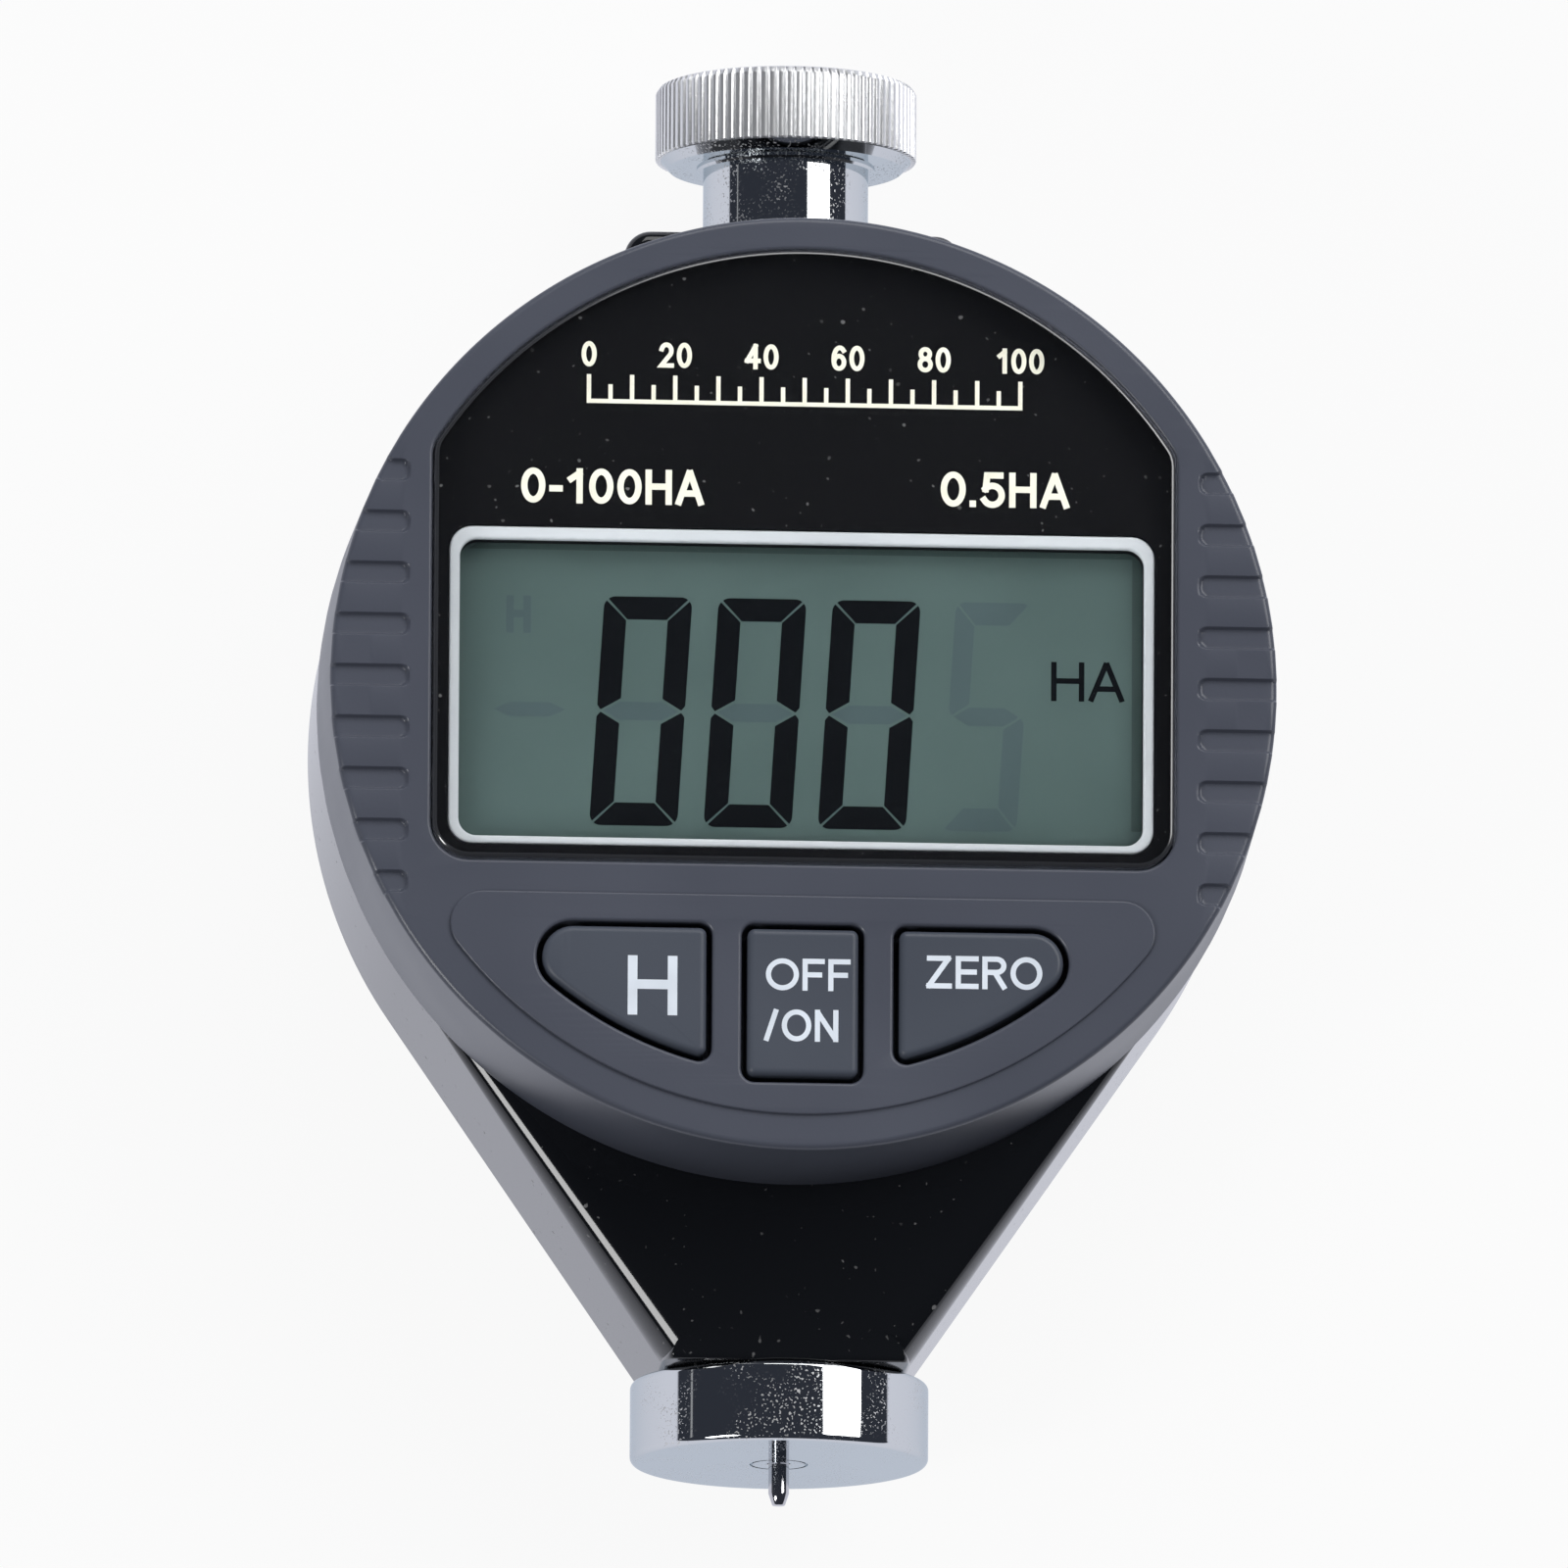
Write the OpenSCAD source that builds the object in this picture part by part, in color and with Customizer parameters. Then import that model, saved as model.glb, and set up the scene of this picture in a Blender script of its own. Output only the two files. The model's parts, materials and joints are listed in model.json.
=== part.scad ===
// Digital hardness gauge, lying on its back.
// X runs to the right, Y towards the knob and Z out of the display.
// The origin is under the middle of the dial, on the plane of the rear face.

/* [Dial cover] */
// Outer diameter of the front cover at its face
dial_d = 57; // [54:0.5:62]
// Depth of the front cover from its face to the parting plane
cover_depth = 11; // [10:0.5:14]
// How much wider in radius the front cover is at the parting plane
cover_draft = 0.2; // [0:0.05:0.5]
// Side wall of the front cover
cover_wall = 2; // [1.5:0.1:3]
// Front wall of the front cover
face_wall = 3.2; // [2.8:0.1:4]
// Rounding of the cover's front edge
face_edge = 0.4; // [0.2:0.1:1]

/* [Grip grooves] */
// Rows of grooves on each side
groove_rows = 9; // [3:2:9]
// Distance from one groove to the next
groove_pitch = 3.14; // [2.5:0.02:3.2]
// Width of a groove
groove_w = 1.25; // [0.8:0.05:1.6]
// Depth of a groove below the face
groove_depth = 0.4; // [0.2:0.1:1]
// Length of a groove at the middle row, measured inwards from the rim
groove_len = 4.7; // [3.5:0.1:5]

/* [Window] */
// Width of the lens
lens_w = 44.6; // [43:0.2:47]
// Rim left on the face outside the lens's upper arc
lens_rim = 2.1; // [1.6:0.1:3]
// Lower edge of the lens, below the middle of the dial
lens_drop = 11; // [10.4:0.1:12]
// Rounding of the lens's upper corners
lens_upper_round = 2; // [1:0.2:3]
// Rounding of the lens's lower corners
lens_lower_round = 2.2; // [1:0.2:3]
// Thickness of the lens
lens_t = 1.7; // [1.2:0.1:2]
// How far the lens stands proud of the face
lens_proud = 0.2; // [0:0.05:0.5]
// Gap around the lens in its recess
lens_gap = 0.12; // [0.05:0.01:0.3]
// Thickness of the black masking sheet behind the lens
mask_t = 0.3; // [0.2:0.05:0.5]

/* [Display] */
// Width of the white frame around the display
view_w = 42.3; // [38:0.1:42.6]
// Height of the white frame around the display
view_h = 19.4; // [16:0.1:20]
// Visible width of the white frame's line
view_line = 0.7; // [0.4:0.05:1.2]
// Outer corner radius of the white frame
view_round = 1.4; // [0.9:0.1:2.5]
// How far the display glass reaches under the frame on each side
lcd_lap = 1.2; // [0.8:0.1:1.4]
// Thickness of the display glass
lcd_t = 2.2; // [1.6:0.1:2.8]
// Rise of the display's front glass into its frame
lcd_rise = 1.2; // [0.4:0.1:1.6]
// Wall of the frame around the display glass
bezel_wall = 0.8; // [0.6:0.1:1]
// Thickness of the frame's flange in front of the glass
bezel_flange = 0.75; // [0.5:0.05:1]
// Thickness of the rubber connector strips, across the display
strip_w = 1.8; // [1:0.1:3]

/* [Keys] */
// Upper edge of the key openings, below the middle of the dial
key_drop = 14.8; // [14.4:0.1:15.4]
// Radius of the side openings' lower arc
key_arc_r = 24.1; // [23.4:0.1:24.4]
// Half the width of the middle key opening
middle_key_half = 3.68; // [3:0.02:4]
// Lower edge of the middle key opening, below the middle of the dial
middle_key_drop = 24.45; // [23:0.05:24.6]
// Width of the face left between two key openings
key_rib = 1.77; // [1.4:0.01:2.4]
// Rounding of the small corners of the openings
key_round = 0.8; // [0.5:0.1:1.4]
// Rounding of the side openings' outer corner
key_outer_round = 2.2; // [1.4:0.1:3]
// Gap between a key and its opening
key_gap = 0.35; // [0.2:0.05:0.5]
// How far the keys stand proud of the key panel
key_proud = 0.3; // [0.1:0.05:0.8]
// Travel of a key
key_travel = 0.6; // [0.3:0.05:0.8]
// Width of the flange that keeps a key behind the face
key_flange = 0.55; // [0.45:0.05:0.6]
// Thickness of a key's flange
key_flange_t = 0.85; // [0.5:0.05:1.2]
// Height of the raised panel around the keys
panel_raise = 0.2; // [0.1:0.05:0.4]
// Upper edge of the raised panel, below the middle of the dial
panel_drop = 13.05; // [12.6:0.05:13.6]
// Rounding of the raised panel's corners
panel_round = 2; // [1:0.1:3]

/* [Circuit board] */
// Thickness of the circuit board
board_t = 1.6; // [1:0.1:2]
// Gap between the circuit board and the cover's wall
board_gap = 1; // [0.4:0.1:1.5]
// Height of the pads that carry the circuit board
board_pad = 1; // [0.6:0.1:1.5]
// Side of the processor chip
chip_side = 10; // [7:0.5:12]
// Thickness of the processor chip
chip_t = 1.4; // [0.8:0.1:1.6]

/* [Body] */
// Diameter of the round part of the body
body_d = 56.6; // [54:0.2:60]
// Depth of the body from its back to the parting plane
body_depth = 17.4; // [17:0.1:20]
// Side wall of the body
body_wall = 3.3; // [2.8:0.1:4]
// Thickness of the deck under the front cover
deck_t = 1.8; // [1.4:0.1:2.2]
// Width of the body's end at the presser foot
funnel_end_w = 14.6; // [13:0.2:17]
// Rounding of the body's front edge near the presser foot
funnel_round = 1; // [0.6:0.1:2]
// Rounding of the body's edges elsewhere
body_edge = 0.8; // [0.4:0.1:1.4]
// Width of the flat boss under the knob
boss_w = 19.4; // [16:0.2:24]
// Top of the flat boss, above the middle of the dial
boss_top = 29.4; // [29:0.1:31]
// Wall of the flat boss, from its top to the inside
boss_wall = 4.8; // [4.4:0.1:6]
// Corner rounding of the flat boss
boss_round = 1.5; // [0.5:0.1:2]

/* [Rear cover] */
// How far the rear cover stands proud of the body's back
rear_proud = 0.6; // [0.4:0.1:1.2]
// Thickness of the rear cover
rear_t = 2.2; // [1.8:0.1:2.6]
// Width of the ledge that the rear cover lies on
rear_ledge = 1.7; // [1.2:0.1:2.2]
// Gap around the rear cover
rear_gap = 0.15; // [0.05:0.05:0.3]

/* [Presser foot] */
// Diameter of the presser foot
foot_d = 18; // [16:0.1:18.4]
// Height of the presser foot
foot_h = 4.9; // [4:0.1:7]
// Distance of the presser foot's face from the middle of the dial
foot_reach = 44.3; // [43.6:0.1:47]
// Diameter of the hole in the presser foot
foot_hole_d = 3; // [2.5:0.1:4]
// Thickness of the presser foot's face around the hole
foot_face_t = 3; // [2:0.1:3.4]
// Edge rounding of the presser foot
foot_edge = 0.4; // [0.2:0.1:0.8]
// Diameter of the presser foot's spigot in the body
spigot_d = 10; // [9:0.1:11]
// Length of the presser foot's spigot
spigot_len = 8.4; // [6:0.1:9]

/* [Indenter] */
// Diameter of the indenter needle
needle_d = 1.25; // [1:0.01:1.5]
// Diameter of the indenter's flat tip
tip_d = 0.79; // [0.5:0.01:0.9]
// Included angle of the indenter's tip cone
tip_angle = 35; // [30:1:60]
// How far the indenter stands out of the presser foot, which is its travel
needle_reach = 2.5; // [2:0.1:2.6]
// Length of the needle held inside the spindle
needle_hold = 4.5; // [3:0.1:6]

/* [Spindle] */
// Diameter of the spindle
spindle_d = 4; // [3.2:0.1:4.6]
// Length of the spindle
spindle_len = 54.5; // [53:0.5:56]
// Outer diameter of the guide bushes
bush_d = 8; // [7:0.1:8.6]
// Length of the lower guide bush
lower_bush_len = 8; // [6:0.1:8.5]
// Length of the upper guide bush in its bridge
upper_bush_len = 6.5; // [5:0.1:7]
// Flange diameter of the upper guide bush
bush_flange_d = 10; // [9.4:0.1:11]
// Flange thickness of the upper guide bush
bush_flange_t = 1.4; // [1:0.1:2]
// Diameter of the stop collar
collar_d = 9; // [8.6:0.1:10]
// Thickness of the stop collar
collar_t = 3; // [2:0.1:4]
// Outer diameter of the measuring spring
spring_d = 7.6; // [7:0.1:8.2]
// Wire diameter of the measuring spring
wire_d = 0.7; // [0.5:0.05:0.9]
// Length of the measuring spring as fitted
spring_len = 15; // [13:0.1:16]
// Number of turns of the measuring spring
spring_turns = 7; // [5:1:9]

/* [Position sensor] */
// Length of the slider carrier along the spindle
carrier_len = 6; // [4:0.1:7]
// Width of the slider carrier
carrier_w = 10; // [8:0.1:11]
// Length of the sensor slider
slider_len = 11; // [9:0.1:12]
// Thickness of the sensor slider
slider_t = 0.8; // [0.5:0.05:1]
// Thickness of the sensor stator
stator_t = 1.6; // [1:0.1:1.8]
// Gap between the slider and the stator
sensor_gap = 0.4; // [0.3:0.05:0.6]
// Width of the sensor stator
stator_w = 13; // [12:0.2:15]

/* [Knob] */
// Diameter of the knob over its knurl
knob_d = 15.8; // [13:0.2:16.4]
// Height of the knurled head
knob_h = 4.5; // [3.5:0.1:6]
// Diameter of the knob's neck
neck_d = 10; // [8.6:0.2:11]
// Length of the knob's neck
neck_len = 6.3; // [4:0.1:9]
// Number of ridges of the knurl
knurl_count = 64; // [40:2:80]
// Depth of the knurl
knurl_depth = 0.25; // [0.15:0.05:0.4]
// Diameter of the knob's stud
stud_d = 6; // [5:0.5:6.5]
// Width of the knob's nut across its flats
nut_af = 10; // [9:0.5:11]
// Thickness of the knob's nut
nut_t = 3; // [2:0.1:3.2]

/* [Battery] */
// Diameter of the button cell
cell_d = 11.6; // [9.5:0.1:11.8]
// Thickness of the button cell
cell_t = 5.4; // [3.6:0.1:5.4]
// Distance of the cell from the spindle axis
cell_out = 14.5; // [14.4:0.1:15.2]
// Distance of the cell from the middle of the dial, towards the knob
cell_up = 5; // [4.5:0.1:5.5]
// Gap around the cell in its cup
cell_gap = 0.3; // [0.25:0.05:0.4]
// Wall of the cell's cup
cup_wall = 1.2; // [1:0.1:1.3]
// How much wider in radius the battery cap's head is than the cup
cap_rim = 1.6; // [1.4:0.1:2]
// Thickness of the battery cap's head
cap_t = 1.3; // [1:0.05:1.4]
// How far the battery cap lies below the rear face
cap_sunk = 0.15; // [0.1:0.05:0.3]
// Turn of the battery cap between locked and free, in degrees
cap_turn = 50; // [30:5:60]

/* [Fasteners] */
// Shank diameter of the cover screws
screw_d = 2; // [1.6:0.1:2.2]
// Head diameter of the cover screws
screw_head_d = 3.6; // [3:0.1:3.8]
// Head height of the cover screws
screw_head_t = 1.2; // [0.8:0.1:1.3]
// Length of a cover screw's shank
screw_len = 6; // [5:0.1:7]
// Wall around a screw in its boss
screw_wall = 1.2; // [0.9:0.1:1.3]

/* [Fits] */
// Radial clearance of the spindle in its bushes
running_gap = 0.03; // [0.01:0.01:0.1]
// Radial clearance of pieces that are fitted to stay
seat_gap = 0.02; // [0.01:0.01:0.04]
// Gap between faces that slide or that stop a movement
face_gap = 0.05; // [0.02:0.01:0.15]

/* [Hidden] */
$fn = 72;
arc_steps = 48;
corner_steps = 8;
slice_t = 0.01;
past = 1;
steel = [0.72, 0.73, 0.75];
chrome = [0.82, 0.83, 0.85];
black = [0.05, 0.05, 0.055];
cover_grey = [0.27, 0.29, 0.33];

// Levels from the rear face up
back_z = rear_proud;
part_z = back_z + body_depth;
face_z = part_z + cover_depth;
axis_z = back_z + body_depth / 2;
deck_z = part_z - deck_t;
ceiling_z = face_z - face_wall;
lens_z = face_z + lens_proud - lens_t;
mask_z = lens_z - mask_t;
bezel_top_z = ceiling_z - face_gap;
lcd_top_z = bezel_top_z - bezel_flange;
lcd_z = lcd_top_z - lcd_t;
board_z = part_z + board_pad;
board_top_z = board_z + board_t;
key_top_z = face_z + panel_raise + key_proud;
key_flange_z = bezel_top_z - key_flange_t;

// Radii and widths of the shells
dial_r = dial_d / 2;
cover_in_r = dial_r - cover_wall;
body_r = body_d / 2;
cavity_r = body_r - body_wall;
rear_seat_r = cavity_r + rear_ledge;
rear_r = rear_seat_r - rear_gap;
lens_arc_r = dial_r - lens_rim;
panel_arc_r = lens_arc_r;
groove_end_x = dial_r - groove_len;
board_r = cover_in_r - board_gap;

// Places along the spindle, from the presser foot to the knob
spindle_clear = 0.9;
carrier_clear = 2;
stator_screw_room = 4.5;
foot_y = -foot_reach;
foot_top_y = foot_y + foot_h;
tip_y = foot_y - needle_reach;
spigot_y = foot_top_y + spigot_len;
spindle_y = foot_y + foot_face_t + spindle_clear;
spindle_top_y = spindle_y + spindle_len;
lower_bush_y = spigot_y + lower_bush_len;
collar_y = lower_bush_y + face_gap;
spring_y = collar_y + collar_t;
bush_flange_y = spring_y + spring_len;
bridge_y = bush_flange_y + bush_flange_t;
bridge_top_y = bridge_y + upper_bush_len;
carrier_y = bridge_top_y + carrier_clear;
stator_y = carrier_y;
stator_len = slider_len + needle_reach + stator_screw_room;
boss_in_y = boss_top - boss_wall;
neck_top_y = boss_top + neck_len;

// Position sensor
stator_z = deck_z - stator_t;
slider_z = stator_z - sensor_gap - slider_t;
slider_y = carrier_y - face_gap;
header_w = 8;
header_d = 2.4;
header_gap = 0.3;
header_y = stator_y + header_d;

// Walls and rooms inside the body
bridge_wall = 1;
bush_seat_wall = 3;
nut_room = 0.25;
piece_room = 0.15;
stud_over = 1;
stud_y = boss_in_y - nut_t - stud_over;
nut_corner_d = nut_af / cos(30);

// Screws
screw_boss_r = screw_d / 2 + screw_wall;
boss_lap = 0.4;
rear_screw_r = cavity_r - screw_boss_r + boss_lap;
rear_screw_angles = [45, 135, 240, 300];
rear_places = [for (a = rear_screw_angles) rear_screw_r * [cos(a), sin(a)]];
cover_screw_r = cavity_r - screw_head_d / 2 - rear_gap - face_gap;
stator_side_room = 1.055;
upper_screw_angle = acos((stator_w / 2 + screw_head_d / 2 + stator_side_room) / cover_screw_r);
cover_screw_angles = [upper_screw_angle, 180 - upper_screw_angle, 218, 322];
cover_places = [for (a = cover_screw_angles) cover_screw_r * [cos(a), sin(a)]];
stator_screw_d = 1.4;
stator_head_t = 0.9;
stator_screw_side = 1.6;
stator_screw_end = 1.8;
stator_places = [for (s = [-1, 1])
    [s * (stator_w / 2 - stator_screw_side), stator_y + stator_len - stator_screw_end]];
pad_r = 1.4;
pad_inset = 2.5;
pad_angles = [8, -62];
pad_places = [for (s = [-1, 1], a = pad_angles) (cavity_r - pad_inset) * [s * cos(a), sin(a)]];

// Battery
cup_r = cell_d / 2 + cell_gap;
cup_out_r = cup_r + cup_wall;
cap_seat_wall = 1;
cap_seat_r = cup_r + cap_rim + cap_seat_wall;
cell_at = [-cell_out, cell_up];
cap_head_z = cap_sunk;
cap_neck_z = cap_head_z + cap_t;
cap_neck_t = 1.3;
cap_fit = 0.15;
lug_t = 0.6;
lug_reach = 0.55;
seal_groove = 0.4;
seal_groove_h = 0.5;
seal_h = 0.4;
lower_leaf_lift = 2;
cell_z = cap_neck_z + cap_neck_t + face_gap;
cell_top_z = cell_z + cell_t;
leaf_t = 0.15;
leaf_w = 1.6;

// Points along an arc, from angle a0 to angle a1
function arc(centre, r, a0, a1, steps) =
    [for (i = [0:steps]) let (a = a0 + (a1 - a0) * i / steps) centre + r * [cos(a), sin(a)]];

// A rectangle with round corners about the origin
function round_rect(w, h, r) =
    let (x = w / 2 - r, y = h / 2 - r)
    concat(
        arc([x, y], r, 0, 90, corner_steps),
        arc([-x, y], r, 90, 180, corner_steps),
        arc([-x, -y], r, 180, 270, corner_steps),
        arc([x, -y], r, 270, 360, corner_steps)
    );

// The body's outline: a circle with two tangents that run in to a straight end
function teardrop(r, end_half, end_y) =
    let (corner = [end_half, end_y])
    let (a = atan2(end_y, end_half) + acos(r / norm(corner)))
    concat(arc([0, 0], r, a, 180 - a, arc_steps), [[-end_half, end_y], corner]);

// The lens's outline: an arc above, upright sides and a straight lower edge, all grown by grow
function lens_outline(grow) =
    let (half = lens_w / 2 + grow, low = -lens_drop - grow, r = lens_arc_r + grow)
    let (up = lens_upper_round + grow, down = lens_lower_round + grow)
    let (up_x = half - up, up_y = sqrt(pow(r - up, 2) - pow(up_x, 2)))
    let (a = atan2(up_y, up_x))
    concat(
        arc([half - down, low + down], down, -90, 0, corner_steps),
        arc([up_x, up_y], up, 0, a, corner_steps),
        arc([0, 0], r, a, 180 - a, arc_steps),
        arc([-up_x, up_y], up, 180 - a, 180, corner_steps),
        arc([down - half, low + down], down, 180, 270, corner_steps)
    );

// The right key opening: upright inner edge, straight top and an arc about the dial's middle
function side_key(grow) =
    let (inner = middle_key_half + key_rib - grow, top = -key_drop + grow, r = key_arc_r + grow)
    let (small = key_round + grow, large = key_outer_round + grow)
    let (low_x = inner + small, low_y = -sqrt(pow(r - small, 2) - pow(low_x, 2)))
    let (out_y = top - large, out_x = sqrt(pow(r - large, 2) - pow(out_y, 2)))
    let (low_a = atan2(low_y, low_x) + 360, out_a = atan2(out_y, out_x) + 360)
    concat(
        arc([low_x, low_y], small, 180, low_a, corner_steps),
        arc([0, 0], r, low_a, out_a, corner_steps),
        arc([out_x, out_y], large, out_a - 360, 90, corner_steps),
        arc([inner + small, top - small], small, 90, 180, corner_steps)
    );

// The raised panel around the keys: straight top and an arc about the dial's middle
function key_panel() =
    let (y = -panel_drop - panel_round, x = sqrt(pow(panel_arc_r - panel_round, 2) - pow(y, 2)))
    let (a = atan2(y, x))
    concat(
        arc([x, y], panel_round, 90, a, corner_steps),
        arc([0, 0], panel_arc_r, a, -180 - a, arc_steps),
        arc([-x, y], panel_round, -180 - a, -270, corner_steps)
    );

// Draws its children with their own Z along the spindle axis
module along_spindle() {
    translate([0, 0, axis_z])
        rotate([-90, 0, 0])
            children();
}

// A rod on the spindle axis between two places
module rod(d, y0, y1) {
    along_spindle()
        translate([0, 0, y0])
            cylinder(d = d, h = y1 - y0);
}

// A flat piece of the given outline between two levels
module plate(outline, z0, z1) {
    translate([0, 0, z0])
        linear_extrude(z1 - z0)
            polygon(outline);
}

// A block centred on X between two places along Y and two levels
module block(w, y0, y1, z0, z1) {
    translate([-w / 2, y0, z0])
        cube([w, y1 - y0, z1 - z0]);
}

// An upright post or bore at each place
module posts(places, r, z0, z1) {
    for (place = places)
        translate([place[0], place[1], z0])
            cylinder(r = r, h = z1 - z0);
}

// The outline of the middle key opening, grown by grow
module middle_key(grow, z0, z1) {
    height = middle_key_drop - key_drop;
    translate([0, -key_drop - height / 2, 0])
        plate(round_rect(2 * (middle_key_half + grow), height + 2 * grow, key_round + grow), z0, z1);
}

// One of the side key openings, on the right or mirrored to the left
module side_key_at(side, grow, z0, z1) {
    mirror([side < 0 ? 1 : 0, 0, 0])
        plate(side_key(grow), z0, z1);
}

// A cut of the given size along an edge of the body's end, tilted to leave a bevel
module edge_bevel(from, towards, size, z) {
    run = towards - from;
    translate([from[0], from[1], z])
        rotate([0, 0, atan2(run[1], run[0])])
            rotate([45, 0, 0])
                translate([-past, -size / sqrt(2), -size / sqrt(2)])
                    cube([norm(run) + 2 * past, sqrt(2) * size, sqrt(2) * size]);
}

// Body: a round shell that runs in to the presser foot, closed in front by a deck
module body_outside() {
    end = funnel_end_w / 2;
    outline = teardrop(body_r, end, foot_top_y);
    right_tangent = outline[0];
    left_tangent = outline[arc_steps];
    difference() {
        plate(outline, back_z, part_z);
        edge_bevel([end, foot_top_y], right_tangent, funnel_round, part_z);
        edge_bevel([-end, foot_top_y], left_tangent, funnel_round, part_z);
        edge_bevel([end, foot_top_y], right_tangent, body_edge, back_z);
        edge_bevel([-end, foot_top_y], left_tangent, body_edge, back_z);
        edge_bevel([-end, foot_top_y], [end, foot_top_y], body_edge, part_z);
    }
}

module body_inside_blocks() {
    // Seat of the lower bush, inside the end of the cavity
    block(bush_d + 2 * bush_seat_wall, -cavity_r - past, lower_bush_y, axis_z - bush_d, deck_z);
    // Bridge that carries the upper bush
    block(bush_flange_d + 2 * bridge_wall, bridge_y, bridge_top_y, axis_z - bush_flange_d / 2, deck_z);
    // Bosses for the rear cover's screws
    posts(rear_places, screw_boss_r, rear_t, deck_z);
    // Pads that carry the circuit board
    posts(pad_places, pad_r, deck_z, board_z);
}

module body_housing() {
    color(black)
    difference() {
        union() {
            difference() {
                body_outside();
                translate([0, 0, back_z - past])
                    cylinder(r = cavity_r, h = deck_z - back_z + past);
            }
            // Flat boss under the knob
            translate([0, boss_top - boss_wall / 2, 0])
                plate(round_rect(boss_w, boss_wall, boss_round), back_z + body_edge, part_z - body_edge);
            body_inside_blocks();
        }
        // Seat of the rear cover
        translate([0, 0, back_z - past])
            cylinder(r = rear_seat_r, h = rear_t - back_z + past);
        // Bores for the spigot, the bushes and the stud
        rod(spigot_d + 2 * seat_gap, foot_top_y - past, spigot_y);
        rod(bush_d + 2 * seat_gap, spigot_y - past, lower_bush_y + past);
        rod(bush_d + 2 * seat_gap, bridge_y - past, bridge_top_y + past);
        rod(stud_d + 2 * seat_gap, boss_in_y - past, boss_top + past);
        // Rooms for the knob's nut, the stop collar and the stator, and the flat under the knob's neck
        rod(nut_corner_d + 2 * nut_room, stud_y, boss_in_y);
        rod(collar_d + 2 * piece_room, lower_bush_y, spring_y);
        block(stator_w + 2 * piece_room, stator_y, stator_y + stator_len + piece_room,
            stator_z - stator_head_t - piece_room, deck_z);
        block(boss_w, boss_top, boss_top + body_r, back_z - past, part_z + past);
        // Holes for the screws
        posts(rear_places, screw_d / 2 + seat_gap, rear_t - past, rear_t + screw_len);
        posts(cover_places, screw_d / 2 + seat_gap, deck_z - past, part_z + past);
        posts(stator_places, stator_screw_d / 2 + seat_gap, deck_z - past, deck_z + deck_t / 2);
        translate([0, foot_top_y + spigot_len / 2, back_z - past])
            cylinder(d = screw_d + 2 * seat_gap, h = axis_z - back_z + past);
        // Openings in the deck for the header and the battery contacts
        block(header_w + 2 * header_gap, header_y - header_gap, header_y + header_d + header_gap,
            deck_z - past, part_z + past);
        for (place = contact_places())
            translate([place[0] - leaf_w / 2 - header_gap, place[1] - header_gap, deck_z - past])
                cube([leaf_w + 2 * header_gap, leaf_t + 2 * header_gap, deck_t + 2 * past]);
    }
}

// Rear cover: a flat disc with the cup of the button cell
module rear_cover() {
    edge = 0.4;
    color([0.09, 0.09, 0.1])
    difference() {
        union() {
            cylinder(r1 = rear_r - edge, r2 = rear_r, h = edge);
            translate([0, 0, edge])
                cylinder(r = rear_r, h = rear_t - edge);
            translate(cell_at)
                cylinder(r = cup_out_r, h = cell_top_z);
            translate(cell_at)
                cylinder(r = cap_seat_r, h = cap_neck_z + cap_neck_t + cap_seat_wall);
        }
        translate([cell_at[0], cell_at[1], -past]) {
            cylinder(r = cup_r, h = cell_top_z + 2 * past);
            cylinder(r = cup_r + cap_rim + cap_fit, h = cap_neck_z + past + face_gap);
            // Ring groove for the battery cap's lugs
            translate([0, 0, past + cap_neck_z + cap_neck_t - lug_t - 2 * cap_fit])
                cylinder(r = cup_r + lug_reach + cap_fit, h = lug_t + 3 * cap_fit);
        }
        for (place = rear_places)
            translate([place[0], place[1], -past]) {
                cylinder(d = screw_d + 2 * seat_gap, h = rear_t + 2 * past);
                cylinder(d = screw_head_d + 2 * cap_fit, h = screw_head_t + past);
            }
    }
}

// A screw with a round head below and a cross slot in the head
module screw(d, head_d, head_t, len) {
    slot_w = d / 4;
    difference() {
        union() {
            cylinder(d = head_d, h = head_t);
            cylinder(d = d, h = head_t + len);
        }
        for (a = [0, 90])
            rotate([0, 0, a])
                translate([-head_d / 3, -slot_w / 2, -past])
                    cube([2 * head_d / 3, slot_w, past + head_t / 2]);
    }
}

module rear_cover_screws() {
    color(steel)
    for (place = rear_places)
        translate([place[0], place[1], face_gap])
            screw(screw_d, screw_head_d, screw_head_t - face_gap, rear_t - screw_head_t + screw_len - past);
}

// Front cover: a shallow cup whose face holds the lens and the keys
module cover_shell() {
    edge_arc = arc([dial_r - face_edge, face_z - face_edge], face_edge, 0, 90, corner_steps);
    rotate_extrude()
        polygon(concat(
            [[0, ceiling_z], [cover_in_r, ceiling_z], [cover_in_r, part_z], [dial_r + cover_draft, part_z]],
            edge_arc,
            [[0, face_z]]
        ));
}

module grip_grooves() {
    for (side = [0, 1], row = [0:groove_rows - 1])
        mirror([side, 0, 0])
            translate([groove_end_x, (row - (groove_rows - 1) / 2) * groove_pitch, face_z - groove_depth]) {
                translate([groove_w / 2, 0, 0])
                    cylinder(d = groove_w, h = groove_depth + past);
                translate([groove_w / 2, -groove_w / 2, 0])
                    cube([groove_len + past, groove_w, groove_depth + past]);
            }
}

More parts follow.
